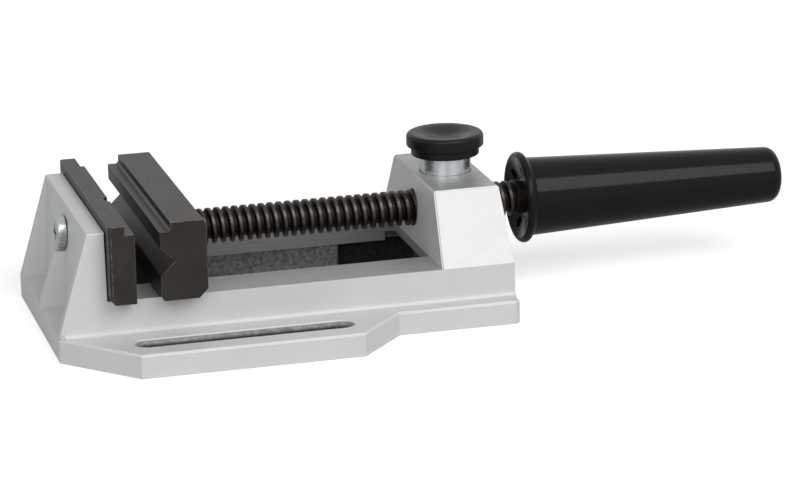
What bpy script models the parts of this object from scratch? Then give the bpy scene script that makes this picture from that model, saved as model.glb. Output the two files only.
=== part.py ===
# Quick-action machine vise with a push-button half nut, for bolting to a drilling machine's table.
#
# The casting lies with its underside on z = 0. X runs along the spindle, from the fixed jaw to the
# handle, and Y across the jaws. Lengths in the functions are counted from the casting's fixed-jaw end,
# and the origin empty moves everything so that the whole vise is centred over the world origin.

import math

import bmesh
import bpy
from mathutils import Matrix, Vector

MM = 0.001

# Clearances
SEAT_GAP = 0.3 * MM
RUNNING_GAP = 0.35 * MM
BORE_GAP = 0.5 * MM

# Casting: base plate with two slotted wings
BASE_LENGTH = 201.4 * MM
BODY_WIDTH = 104.0 * MM
WING_WIDTH = 169.0 * MM
TAIL_WIDTH = 121.5 * MM
WING_START = 29.0 * MM
WING_LENGTH = 96.5 * MM
WING_RUNOUT = 21.0 * MM
PLATE_THICK = 10.4 * MM
PLATE_CORNER = 3.0 * MM
PLATE_EDGE = 0.5 * MM
SLOT_WIDTH = 11.0 * MM
SLOT_LENGTH = 95.0 * MM
SLOT_START = 29.5 * MM
SLOT_FROM_WING = 16.0 * MM
SLOT_SEGMENTS = 10

# Casting: hollow body with two flat rails. The upper part of the channel between them is machined,
# and below it hang two rough walls that the keeper grips from underneath.
RAIL_TOP = 25.0 * MM
RAIL_THICK = 8.4 * MM
CHANNEL_WIDTH = 60.0 * MM
ROUGH_WIDTH = 61.0 * MM
ROUGH_WALL = 6.0 * MM
ROUGH_HEIGHT = 10.0 * MM
ROUGH_END = 59.4 * MM
SIDE_WALL = 5.5 * MM
ROOM_FROM_WALL = 3.0 * MM
FOOT_FILLET = 2.5 * MM
FOOT_START = 2.5 * MM

# Casting: end wall behind the fixed jaw, with heights above the rails
END_WALL_INNER = 21.3 * MM
END_WALL_HEIGHT = 30.5 * MM
END_WALL_TOP = 7.6 * MM
END_WALL_FOOT = 10.8 * MM
GUSSET_THICK = 4.5 * MM
RIB_THICK = 5.0 * MM
RIB_HEIGHT = 9.7 * MM
RIB_TOP_LENGTH = 5.5 * MM

# Casting: block that carries the spindle and the button, with heights above the rails
BLOCK_LENGTH = 32.7 * MM
BLOCK_DRAFT = 1.6 * MM
BLOCK_HEIGHT = 30.3 * MM
BLOCK_TOP_WIDTH = 68.0 * MM
BLOCK_EDGE = 0.6 * MM
BLOCK_ROOM_WIDTH = 68.0 * MM
BLOCK_ROOM_FRONT = 4.5 * MM
BLOCK_ROOM_DROP = 4.5 * MM
BOSS_WALL = 3.6 * MM
BOSS_TAPER = 0.8 * MM
BOSS_BOTTOM = 2.5 * MM

# Jaws, with heights above the rails
JAW_WIDTH = 120.0 * MM
JAW_HEIGHT = 34.3 * MM
JAW_STEP_HEIGHT = 4.0 * MM
FIXED_JAW_THICK = 11.2 * MM
FIXED_STEP_DEPTH = 4.2 * MM
FIXED_BACK_CHAMFER = 2.0 * MM
UPRIGHT_VEE_DEPTH = 4.0 * MM
MOVING_JAW_THICK = 20.2 * MM
MOVING_STEP_DEPTH = 4.8 * MM
MOVING_BACK_CHAMFER = 4.0 * MM
LONG_VEE_HEIGHT = 17.5 * MM
LONG_VEE_DEPTH = 6.2 * MM
JAW_BEVEL = 1.0 * MM
JAW_OPENING = 10.6 * MM

# Fixed jaw screw
SCREW_HEIGHT = 18.0 * MM
SCREW_DIAMETER = 8.0 * MM
SCREW_HEAD_DIAMETER = 14.4 * MM
SCREW_HEAD_HEIGHT = 4.4 * MM
SCREW_TIP_GAP = 1.0 * MM
SCREW_CROWN = 1.5 * MM
SPOT_FACE_DEPTH = 8.0 * MM
SPOT_FACE_MARGIN = 1.0 * MM
RECESS_WIDTH = 1.6 * MM
RECESS_LENGTH = 7.0 * MM
RECESS_DEPTH = 2.2 * MM

# Slide between the rails, and the keeper below it
SLIDE_LENGTH = 18.2 * MM
SLIDE_BACK_INSET = 1.0 * MM
SLIDE_CORNER = 0.8 * MM
KEEPER_WIDTH = 72.0 * MM
KEEPER_THICK = 5.2 * MM
KEEPER_CORNER = 1.0 * MM
KEEPER_SCREW_DIAMETER = 6.0 * MM
KEEPER_HEAD_DIAMETER = 10.0 * MM
KEEPER_HEAD_HEIGHT = 2.6 * MM
KEEPER_SCREW_SPACING = 36.0 * MM
KEEPER_SCREW_REACH = 11.0 * MM

# Spindle, with a trapezoidal thread 16 x 4, and its height above the rails
SPINDLE_HEIGHT = 14.5 * MM
THREAD_DIAMETER = 16.0 * MM
THREAD_PITCH = 4.0 * MM
THREAD_DEPTH = 2.25 * MM
THREAD_CREST = 1.464 * MM
FLANK_ANGLE = math.radians(15.0)
THREAD_STEPS = 14
JOURNAL_DIAMETER = 10.0 * MM
JOURNAL_LENGTH = 10.6 * MM
GROOVE_DIAMETER = 7.2 * MM
GROOVE_WIDTH = 3.4 * MM
GROOVE_FROM_SHOULDER = 4.0 * MM
SHANK_DIAMETER = 14.4 * MM
SHANK_VISIBLE = 4.4 * MM
TAIL_DIAMETER = 10.0 * MM
TAIL_LENGTH = 34.0 * MM
SPINDLE_EDGE = 0.8 * MM
PIN_DIAMETER = 3.0 * MM
PIN_LENGTH = 20.0 * MM

# Handle
HANDLE_STANDOFF = 16.2 * MM
HANDLE_LENGTH = 123.9 * MM
FLANGE_DIAMETER = 41.0 * MM
FLANGE_THICK = 4.3 * MM
FLANGE_DISH = 3.4 * MM
FLANGE_RIM = 2.2 * MM
FLANGE_SLOPE = 8.8 * MM
GRIP_DIAMETER = 35.2 * MM
GRIP_END_DIAMETER = 25.4 * MM
GRIP_END_RADIUS = 5.0 * MM
GRIP_START_EDGE = 1.0 * MM
FLANGE_HOLES = 3
FLANGE_HOLE_DIAMETER = 4.8 * MM
FLANGE_HOLE_DEPTH = 6.0 * MM
FLANGE_HOLE_WALL = 0.9 * MM
FLANGE_HOLE_START = math.radians(43.0)
INSERT_DIAMETER = 18.0 * MM
INSERT_LENGTH = 30.0 * MM
INSERT_POCKET_SPARE = 6.0 * MM
HANDLE_PIN_DIAMETER = 4.0 * MM
HANDLE_PIN_SINK = 0.6 * MM

# Button, with its neck above the block and its nut below the spindle's axis
PLUNGER_DIAMETER = 22.6 * MM
PLUNGER_NECK = 7.7 * MM
PLUNGER_DEPTH = 20.5 * MM
PLUNGER_EDGE = 0.6 * MM
BUTTON_TRAVEL = 5.0 * MM
WINDOW_GAP = 0.4 * MM
NUT_RELIEF = 3.0 * MM
CAP_HEIGHT = 9.9 * MM
CAP_DIAMETER = 34.4 * MM
CAP_STEP_DIAMETER = 30.4 * MM
CAP_STEP_HEIGHT = 4.0 * MM
CAP_RIM_WIDTH = 3.6 * MM
CAP_RIM_RADIUS = 2.0 * MM
CAP_RIM_EDGE = 0.8 * MM
CAP_STEP_EDGE = 0.6 * MM
CAP_SEAT_DEPTH = 1.7 * MM
DISH_DEPTH = 2.6 * MM
DISH_STEPS = 5
STUD_DIAMETER = 8.0 * MM
STUD_LENGTH = 11.6 * MM
STUD_IN_CAP = 3.4 * MM

# Spring under the plunger, and what holds it in
SPRING_DIAMETER = 14.6 * MM
SPRING_WIRE = 1.6 * MM
SPRING_TURNS = 5.5
SPRING_STEPS = 12
SPRING_POCKET_DEPTH = 8.5 * MM
PLUG_THICK = 3.0 * MM
RING_THICK = 1.2 * MM
RING_DEPTH = 1.2 * MM
RING_WIDTH = 2.8 * MM
RING_MOUTH = 8.0 * MM
RING_FROM_BOTTOM = 1.7 * MM

# Mesh: segments of round pieces by size, the overlap of cutters and joined pieces, and smooth shading
FINE_ROUND = 40
ROUND = 32
SMALL_ROUND = 24
SCREW_ROUND = 18
PIN_ROUND = 14
CUT_OVERLAP = 5.0 * MM
JOIN_OVERLAP = 2.0 * MM
SMALL_STEP = 0.1 * MM
SMOOTH_ANGLE = math.radians(35.0)

# Places worked out from the sizes above
SLOT_OFFSET = WING_WIDTH / 2 - SLOT_FROM_WING
HALF_BODY = BODY_WIDTH / 2
HALF_JAW = JAW_WIDTH / 2
RAIL_BOTTOM = RAIL_TOP - RAIL_THICK
ROUGH_BOTTOM = RAIL_BOTTOM - ROUGH_HEIGHT
END_WALL_TOP_Z = RAIL_TOP + END_WALL_HEIGHT
BLOCK_START = BASE_LENGTH - BLOCK_LENGTH
BLOCK_TOP_Z = RAIL_TOP + BLOCK_HEIGHT
BLOCK_ROOM_Z = RAIL_TOP - BLOCK_ROOM_DROP
AXIS_Z = RAIL_TOP + SPINDLE_HEIGHT
SCREW_Z = RAIL_TOP + SCREW_HEIGHT
SPOT_FACE_X = END_WALL_INNER - SPOT_FACE_DEPTH
JAW_BOTTOM = RAIL_TOP + SEAT_GAP
JAW_TOP = JAW_BOTTOM + JAW_HEIGHT
FIXED_JAW_BACK = END_WALL_INNER + SEAT_GAP
FIXED_JAW_FACE = FIXED_JAW_BACK + FIXED_JAW_THICK
SCREW_END = FIXED_JAW_FACE - UPRIGHT_VEE_DEPTH - SCREW_TIP_GAP
MOVING_JAW_FACE = FIXED_JAW_FACE + JAW_OPENING
MOVING_JAW_BACK = MOVING_JAW_FACE + MOVING_JAW_THICK
SLIDE_BACK = MOVING_JAW_BACK - SLIDE_BACK_INSET
SLIDE_CENTRE = SLIDE_BACK - SLIDE_LENGTH / 2
KEEPER_TOP = ROUGH_BOTTOM - 2 * SEAT_GAP
KEEPER_BOTTOM = KEEPER_TOP - KEEPER_THICK
THREAD_START = MOVING_JAW_BACK + SEAT_GAP
FLANGE_FACE = BASE_LENGTH + HANDLE_STANDOFF
SHANK_END = FLANGE_FACE + FLANGE_DISH
THREAD_END = SHANK_END - SHANK_VISIBLE
INSERT_START = SHANK_END + SEAT_GAP
HANDLE_PIN_X = INSERT_START + INSERT_LENGTH / 2
HANDLE_END = FLANGE_FACE + HANDLE_LENGTH
BUTTON_X = BLOCK_START + BLOCK_LENGTH / 2
BORE_RADIUS = PLUNGER_DIAMETER / 2 + RUNNING_GAP
CAP_BOTTOM = BLOCK_TOP_Z + PLUNGER_NECK
PLUNGER_TOP = CAP_BOTTOM + CAP_SEAT_DEPTH
PLUNGER_BOTTOM = AXIS_Z - PLUNGER_DEPTH
RING_TOP = BOSS_BOTTOM + RING_FROM_BOTTOM + RING_THICK
PLUG_BOTTOM = RING_TOP + SEAT_GAP
PLUG_TOP = PLUG_BOTTOM + PLUG_THICK
ORIGIN_X = HANDLE_END / 2


def material(name, colour, roughness, metallic):
    """A plain Principled material."""
    made = bpy.data.materials.new(name)
    made.use_nodes = True
    shader = made.node_tree.nodes["Principled BSDF"]
    shader.inputs["Base Color"].default_value = (*colour, 1.0)
    shader.inputs["Roughness"].default_value = roughness
    shader.inputs["Metallic"].default_value = metallic
    return made


def mesh_object(name, bm):
    """Turns finished bmesh data into an object, with its faces pointing out."""
    bmesh.ops.recalc_face_normals(bm, faces=bm.faces)
    mesh = bpy.data.meshes.new(name)
    bm.to_mesh(mesh)
    bm.free()
    made = bpy.data.objects.new(name, mesh)
    bpy.context.collection.objects.link(made)
    return made


def prism(name, outline, axis, start, end):
    """An outline pushed along an axis. Its points are the other two coordinates, in X, Y, Z order."""
    bm = bmesh.new()
    verts = []
    for first, second in outline:
        point = [first, second]
        point.insert("XYZ".index(axis), start)
        verts.append(bm.verts.new(point))
    face = bm.faces.new(verts)
    moved = bmesh.ops.extrude_face_region(bm, geom=[face])["geom"]
    step = Vector([end - start if letter == axis else 0.0 for letter in "XYZ"])
    moved_verts = [item for item in moved if isinstance(item, bmesh.types.BMVert)]
    bmesh.ops.translate(bm, verts=moved_verts, vec=step)
    return mesh_object(name, bm)


def box(name, low, high):
    """A box between two corners."""
    outline = [(low[0], low[1]), (high[0], low[1]), (high[0], high[1]), (low[0], high[1])]
    return prism(name, outline, "Z", low[2], high[2])


def turned(name, profile, axis, centre, segments, hollow=False):
    """A profile of (place along the axis, radius) spun about an X or a Z axis through centre.

    A solid piece is closed by a flat end at its first and last point, and a hollow one by joining them.
    """
    bm = bmesh.new()
    verts = []
    for along, radius in profile:
        offset = Vector((along, 0.0, radius)) if axis == "X" else Vector((radius, 0.0, along))
        verts.append(bm.verts.new(centre + offset))
    first = 0 if hollow else 1
    edges = [bm.edges.new((verts[i - 1], verts[i])) for i in range(first, len(verts))]
    direction = (1.0, 0.0, 0.0) if axis == "X" else (0.0, 0.0, 1.0)
    bmesh.ops.spin(bm, geom=verts + edges, cent=centre, axis=direction, angle=math.tau, steps=segments)
    bmesh.ops.remove_doubles(bm, verts=bm.verts, dist=1e-6)
    if not hollow:
        bmesh.ops.holes_fill(bm, edges=[edge for edge in bm.edges if edge.is_boundary], sides=0)
    return mesh_object(name, bm)


def rod(name, axis, centre, radius, start, end, segments=ROUND):
    """A plain cylinder along X or Z, from start to end."""
    return turned(name, [(start, radius), (end, radius)], axis, centre, segments)


def arc(centre, radius, start, end, steps):
    """Points along an arc, with its angles in degrees."""
    points = []
    for i in range(steps + 1):
        angle = math.radians(start + (end - start) * i / steps)
        points.append((centre[0] + radius * math.cos(angle), centre[1] + radius * math.sin(angle)))
    return points


def combine(piece, tool, operation):
    """Applies an exact Boolean and removes the tool."""
    modifier = piece.modifiers.new(operation.title(), "BOOLEAN")
    modifier.operation = operation
    modifier.solver = "EXACT"
    modifier.object = tool
    with bpy.context.temp_override(object=piece, active_object=piece):
        bpy.ops.object.modifier_apply(modifier=modifier.name)
    bpy.data.objects.remove(tool)


def cut(piece, *tools):
    for tool in tools:
        combine(piece, tool, "DIFFERENCE")


def add(piece, *tools):
    for tool in tools:
        combine(piece, tool, "UNION")


def bevel_edges(piece, width, segments, wanted):
    """Bevels the edges whose two end points satisfy wanted."""
    bm = bmesh.new()
    bm.from_mesh(piece.data)
    edges = [edge for edge in bm.edges if wanted(edge.verts[0].co, edge.verts[1].co)]
    bmesh.ops.bevel(bm, geom=edges, offset=width, offset_type="OFFSET", segments=segments, affect="EDGES")
    bm.to_mesh(piece.data)
    bm.free()


def finish(piece, root, origin, look, smooth=False):
    """Gives a piece its origin, parent and material."""
    piece.data.transform(Matrix.Translation(-origin))
    piece.location = origin
    piece.parent = root
    piece.data.materials.clear()
    piece.data.materials.append(look)
    if smooth:
        piece.data.shade_smooth()
        piece.data.set_sharp_from_angle(angle=SMOOTH_ANGLE)
    return piece


def plate_outline():
    """The base plate seen from above: narrow at the fixed jaw, wide at the slots, narrower at the tail."""
    wing = WING_WIDTH / 2
    tail = TAIL_WIDTH / 2
    wing_end = WING_START + WING_LENGTH
    near = [
        (0.0, -HALF_BODY),
        (WING_START, -wing),
        (wing_end, -wing),
        (wing_end + WING_RUNOUT, -tail),
    ]
    near += arc((BASE_LENGTH - PLATE_CORNER, PLATE_CORNER - tail), PLATE_CORNER, -90.0, 0.0, 4)
    far = [(x, -y) for x, y in reversed(near)]
    return near + far


def slot_outline(side):
    """One bolt slot, with round ends."""
    radius = SLOT_WIDTH / 2
    first = (SLOT_START + radius, side * SLOT_OFFSET)
    last = (SLOT_START + SLOT_LENGTH - radius, side * SLOT_OFFSET)
    return arc(first, radius, 90.0, 270.0, SLOT_SEGMENTS) + arc(last, radius, -90.0, 90.0, SLOT_SEGMENTS)


def foot_profile(side):
    """The cross-section of the small fillet where one side of the body meets the base plate."""
    inside = HALF_BODY - FOOT_FILLET / 2
    centre = (HALF_BODY + FOOT_FILLET, PLATE_THICK + FOOT_FILLET)
    points = [(inside, PLATE_THICK / 2), (HALF_BODY + FOOT_FILLET, PLATE_THICK / 2)]
    points += arc(centre, FOOT_FILLET, 270.0, 180.0, 3)
    points += [(inside, PLATE_THICK + FOOT_FILLET)]
    return [(side * y, z) for y, z in points]


def base_plate():
    """The plate with its rounded top edge."""
    plate = prism("plate", plate_outline(), "Z", 0.0, PLATE_THICK)
    top = PLATE_THICK - SMALL_STEP
    bevel_edges(plate, PLATE_EDGE, 2, lambda a, b: a.z > top and b.z > top)
    return plate


def end_wall():
    """The tapered wall behind the fixed jaw, with its two gussets and one rib on the outside."""
    top_outer = END_WALL_INNER - END_WALL_TOP
    sunk = PLATE_THICK / 2
    side = [(END_WALL_FOOT, sunk), (END_WALL_INNER, sunk), (END_WALL_INNER, END_WALL_TOP_Z)]
    side += [(top_outer, END_WALL_TOP_Z), (END_WALL_FOOT, PLATE_THICK)]
    wall = prism("wall", side, "Y", -HALF_BODY, HALF_BODY)
    inside = END_WALL_INNER - END_WALL_TOP / 2
    gusset = [(0.0, sunk), (inside, sunk), (inside, END_WALL_TOP_Z), (top_outer, END_WALL_TOP_Z)]
    gusset += [(0.0, PLATE_THICK)]
    add(wall, prism("near_gusset", gusset, "Y", -HALF_BODY, GUSSET_THICK - HALF_BODY))
    add(wall, prism("far_gusset", gusset, "Y", HALF_BODY - GUSSET_THICK, HALF_BODY))
    rib_front = top_outer - RIB_TOP_LENGTH
    rib_top = RAIL_TOP + RIB_HEIGHT
    rib = [(0.0, sunk), (inside, sunk), (inside, rib_top), (rib_front, rib_top), (0.0, PLATE_THICK)]
    add(wall, prism("rib", rib, "Y", -RIB_THICK / 2, RIB_THICK / 2))
    return wall


def spindle_block():
    """The block at the handle end. Its sides lean in to a narrower top, and its ends have a little draft."""
    half_top = BLOCK_TOP_WIDTH / 2
    sunk = RAIL_TOP - RAIL_THICK / 2
    profile = [(-HALF_BODY, sunk), (HALF_BODY, sunk), (HALF_BODY, RAIL_TOP)]
    profile += [(half_top, BLOCK_TOP_Z), (-half_top, BLOCK_TOP_Z), (-HALF_BODY, RAIL_TOP)]
    block = prism("block", profile, "X", BLOCK_START, BASE_LENGTH)
    rail = RAIL_TOP + SMALL_STEP
    for vertex in block.data.vertices:
        if vertex.co.z > rail:
            vertex.co.x += BLOCK_DRAFT if vertex.co.x < BUTTON_X else -BLOCK_DRAFT
    bevel_edges(block, BLOCK_EDGE, 2, lambda a, b: max(a.z, b.z) > rail)
    return block


def plunger_boss():
    """The tapered boss under the block, round the plunger's bore, trimmed to the block's two faces."""
    top = BLOCK_ROOM_Z + JOIN_OVERLAP
    radius = BORE_RADIUS + BOSS_WALL
    profile = [(BOSS_BOTTOM, radius - BOSS_TAPER), (BLOCK_ROOM_Z, radius), (top, radius)]
    boss = turned("boss", profile, "Z", Vector((BUTTON_X, 0.0, 0.0)), ROUND)
    trim = box("trim", (BLOCK_START, -radius - MM, 0.0), (BASE_LENGTH, radius + MM, top + MM))
    combine(boss, trim, "INTERSECT")
    return boss


def plunger_bore():
    """The bore for the plunger and its plug, with the groove for the retaining ring."""
    groove_bottom = RING_TOP - RING_THICK - RUNNING_GAP
    groove_top = RING_TOP + RUNNING_GAP
    groove = BORE_RADIUS + RING_DEPTH
    above = BLOCK_TOP_Z + CUT_OVERLAP
    profile = [(-CUT_OVERLAP, BORE_RADIUS), (groove_bottom, BORE_RADIUS), (groove_bottom, groove)]
    profile += [(groove_top, groove), (groove_top, BORE_RADIUS), (above, BORE_RADIUS)]
    return turned("plunger_bore", profile, "Z", Vector((BUTTON_X, 0.0, 0.0)), FINE_ROUND)


def rough_wall(side):
    """One of the two unmachined walls that hang from the rails along the channel."""
    inner = ROUGH_WIDTH / 2
    sides = sorted((side * inner, side * (inner + ROUGH_WALL)))
    low = (END_WALL_INNER, sides[0], ROUGH_BOTTOM)
    high = (BASE_LENGTH - ROUGH_END, sides[1], RAIL_TOP - RAIL_THICK / 2)
    return box("rough_wall", low, high)


def build_casting():
    """The one-piece casting, hollow from below."""
    casting = base_plate()
    casting.name = "base_casting"
    body_start = END_WALL_INNER - END_WALL_TOP / 2
    body_low = (body_start, -HALF_BODY, PLATE_THICK / 2)
    add(casting, box("body", body_low, (BASE_LENGTH, HALF_BODY, RAIL_TOP)))
    add(casting, end_wall())
    for side in (-1, 1):
        add(casting, prism("foot", foot_profile(side), "X", FOOT_START, BASE_LENGTH))
    add(casting, spindle_block())
    inner = HALF_BODY - SIDE_WALL
    room_start = END_WALL_INNER + ROOM_FROM_WALL
    room_end = BASE_LENGTH - SIDE_WALL
    below = -CUT_OVERLAP
    cut(casting, box("room", (room_start, -inner, below), (room_end, inner, RAIL_BOTTOM)))
    half_channel = CHANNEL_WIDTH / 2
    for side in (-1, 1):
        add(casting, rough_wall(side))
    channel_low = (END_WALL_INNER, -half_channel, below)
    cut(casting, box("channel", channel_low, (BLOCK_START, half_channel, RAIL_TOP + MM)))
    half_room = BLOCK_ROOM_WIDTH / 2
    room_low = (BLOCK_START - BLOCK_ROOM_FRONT, -half_room, below)
    cut(casting, box("block_room", room_low, (room_end, half_room, BLOCK_ROOM_Z)))
    add(casting, plunger_boss())
    cut(casting, plunger_bore())
    axis_point = Vector((0.0, 0.0, AXIS_Z))
    bore = THREAD_DIAMETER / 2 + BORE_GAP
    bore_start = BLOCK_START - CUT_OVERLAP
    cut(casting, rod("spindle_bore", "X", axis_point, bore, bore_start, BASE_LENGTH + CUT_OVERLAP))
    for side in (-1, 1):
        cut(casting, prism("slot", slot_outline(side), "Z", below, PLATE_THICK + CUT_OVERLAP))
    screw_point = Vector((0.0, 0.0, SCREW_Z))
    spot = SCREW_HEAD_DIAMETER / 2 + SPOT_FACE_MARGIN
    hole = SCREW_DIAMETER / 2 + RUNNING_GAP
    profile = [(0.0, spot), (SPOT_FACE_X, spot), (SPOT_FACE_X, hole), (END_WALL_INNER + CUT_OVERLAP, hole)]
    cut(casting, turned("screw_hole", profile, "X", screw_point, ROUND))
    return casting


def build_fixed_jaw():
    """A steel plate with a stepped top, a bevelled back and an upright vee for round stock."""
    back = FIXED_JAW_BACK
    face = FIXED_JAW_FACE
    ledge = JAW_TOP - JAW_STEP_HEIGHT
    step = face - FIXED_STEP_DEPTH
    outline = [
        (back + FIXED_BACK_CHAMFER, JAW_BOTTOM),
        (face, JAW_BOTTOM),
        (face, ledge),
        (step, ledge),
        (step, JAW_TOP),
        (back, JAW_TOP),
        (back, JAW_BOTTOM + FIXED_BACK_CHAMFER),
    ]
    jaw = prism("fixed_jaw_plate", outline, "Y", -HALF_JAW, HALF_JAW)
    corner = back + SMALL_STEP
    bevel_edges(jaw, JAW_BEVEL, 1, lambda a, b: max(a.x, b.x) < corner and abs(a.y - b.y) < MM)
    vee = UPRIGHT_VEE_DEPTH
    notch = [(face + MM, -vee - MM), (face + MM, vee + MM), (face - vee, 0.0)]
    cut(jaw, prism("upright_vee", notch, "Z", JAW_BOTTOM - MM, JAW_TOP + MM))
    tapped = SCREW_DIAMETER / 2 + SEAT_GAP
    point = Vector((0.0, 0.0, SCREW_Z))
    cut(jaw, rod("tapped_hole", "X", point, tapped, back - CUT_OVERLAP, SCREW_END + SEAT_GAP))
    return jaw


def build_fixed_jaw_screw():
    """A pan-head screw with a cross recess, through the end wall into the back of the fixed jaw."""
    seat = SPOT_FACE_X - SEAT_GAP
    top = seat - SCREW_HEAD_HEIGHT
    radius = SCREW_HEAD_DIAMETER / 2
    shank = SCREW_DIAMETER / 2
    crown = SCREW_CROWN
    profile = [(top, radius - crown)]
    profile += arc((top + crown, radius - crown), crown, 150.0, 90.0, 2)
    profile += [(seat, radius), (seat, shank), (SCREW_END, shank)]
    point = Vector((0.0, 0.0, SCREW_Z))
    screw = turned("fixed_jaw_screw", profile, "X", point, SMALL_ROUND)
    half = RECESS_WIDTH / 2
    reach = RECESS_LENGTH / 2
    for wide, tall in ((half, reach), (reach, half)):
        low = (top - MM, -wide, SCREW_Z - tall)
        cut(screw, box("recess", low, (top + RECESS_DEPTH, wide, SCREW_Z + tall)))
    return screw


def build_moving_jaw():
    """A steel block with a stepped top and one long vee, bored at the back for the spindle's journal."""
    face = MOVING_JAW_FACE
    back = MOVING_JAW_BACK
    ledge = JAW_TOP - JAW_STEP_HEIGHT
    step = face + MOVING_STEP_DEPTH
    bevel = JAW_BEVEL
    chamfer = MOVING_BACK_CHAMFER
    vee_z = RAIL_TOP + LONG_VEE_HEIGHT
    outline = [
        (face + bevel, JAW_BOTTOM),
        (back - chamfer, JAW_BOTTOM),
        (back, JAW_BOTTOM + chamfer),
        (back, JAW_TOP - 2 * bevel),
        (back - bevel, JAW_TOP),
        (step, JAW_TOP),
        (step, ledge + bevel),
        (step - bevel, ledge),
        (face, ledge),
        (face, vee_z + LONG_VEE_DEPTH),
        (face + LONG_VEE_DEPTH, vee_z),
        (face, vee_z - LONG_VEE_DEPTH),
        (face, JAW_BOTTOM + 2 * bevel),
    ]
    jaw = prism("moving_jaw_block", outline, "Y", -HALF_JAW, HALF_JAW)
    point = Vector((0.0, 0.0, AXIS_Z))
    bore = JOURNAL_DIAMETER / 2 + RUNNING_GAP
    bore_start = back - JOURNAL_LENGTH - SEAT_GAP
    cut(jaw, rod("journal_bore", "X", point, bore, bore_start, back + CUT_OVERLAP))
    for side in (-1, 1):
        place = pin_place(side)
        pin_top = JAW_BOTTOM + PIN_LENGTH + 2 * SEAT_GAP
        cut(jaw, rod("pin_hole", "Z", place, PIN_DIAMETER / 2 + SEAT_GAP, 0.0, pin_top, PIN_ROUND))
        place = keeper_screw_place(side)
        screw_top = JAW_BOTTOM + KEEPER_SCREW_REACH + 2 * SEAT_GAP
        hole = KEEPER_SCREW_DIAMETER / 2 + SEAT_GAP
        cut(jaw, rod("keeper_hole", "Z", place, hole, 0.0, screw_top, SCREW_ROUND))
    return jaw


def pin_place(side):
    """Where a retaining pin stands, beside the floor of the journal's groove."""
    x = THREAD_START - GROOVE_FROM_SHOULDER - GROOVE_WIDTH / 2
    y = GROOVE_DIAMETER / 2 + SEAT_GAP + PIN_DIAMETER / 2
    return Vector((x, side * y, 0.0))


def keeper_screw_place(side):
    """Where a keeper screw stands."""
    return Vector((SLIDE_CENTRE, side * KEEPER_SCREW_SPACING / 2, 0.0))


def build_pin(name, side):
    """A pin that holds the journal in the jaw. One stands on each side of its groove."""
    start = JAW_BOTTOM + SEAT_GAP
    return rod(name, "Z", pin_place(side), PIN_DIAMETER / 2, start, start + PIN_LENGTH, PIN_ROUND)


def build_slide():
    """The guide that fills the machined channel between the rails, under the moving jaw."""
    half = CHANNEL_WIDTH / 2 - SEAT_GAP
    low = (SLIDE_BACK - SLIDE_LENGTH, -half, KEEPER_TOP + SEAT_GAP)
    slide = box("jaw_slide", low, (SLIDE_BACK, half, RAIL_TOP))
    bevel_edges(slide, SLIDE_CORNER, 1, lambda a, b: abs(a.z - b.z) > MM)
    for side in (-1, 1):
        hole = KEEPER_SCREW_DIAMETER / 2 + SEAT_GAP
        top = RAIL_TOP + CUT_OVERLAP
        cut(slide, rod("hole", "Z", keeper_screw_place(side), hole, 0.0, top, SCREW_ROUND))
    return slide


def build_keeper():
    """The plate that reaches under both rough walls and keeps the moving jaw down."""
    half = KEEPER_WIDTH / 2
    low = (SLIDE_BACK - SLIDE_LENGTH, -half, KEEPER_BOTTOM)
    keeper = box("keeper_plate", low, (SLIDE_BACK, half, KEEPER_TOP))
    bevel_edges(keeper, KEEPER_CORNER, 1, lambda a, b: abs(a.z - b.z) > MM)
    for side in (-1, 1):
        place = keeper_screw_place(side)
        seat = KEEPER_BOTTOM + KEEPER_HEAD_HEIGHT + 2 * SEAT_GAP
        head = KEEPER_HEAD_DIAMETER / 2 + RUNNING_GAP
        cut(keeper, rod("counterbore", "Z", place, head, 0.0, seat, SMALL_ROUND))
        hole = KEEPER_SCREW_DIAMETER / 2 + SEAT_GAP
        cut(keeper, rod("hole", "Z", place, hole, 0.0, RAIL_TOP, SCREW_ROUND))
    return keeper


def build_keeper_screw(name, side):
    """A low-head socket screw, pointing up into the moving jaw."""
    bottom = KEEPER_BOTTOM + SEAT_GAP
    seat = bottom + KEEPER_HEAD_HEIGHT
    head = KEEPER_HEAD_DIAMETER / 2
    shank = KEEPER_SCREW_DIAMETER / 2
    end = JAW_BOTTOM + KEEPER_SCREW_REACH
    profile = [(bottom, head), (seat, head), (seat, shank), (end, shank)]
    place = keeper_screw_place(side)
    screw = turned(name, profile, "Z", place, SCREW_ROUND)
    hexagon = arc((place.x, place.y), shank, 0.0, 300.0, 5)
    cut(screw, prism("socket", hexagon, "Z", 0.0, bottom + KEEPER_HEAD_HEIGHT / 2))
    return screw


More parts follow.
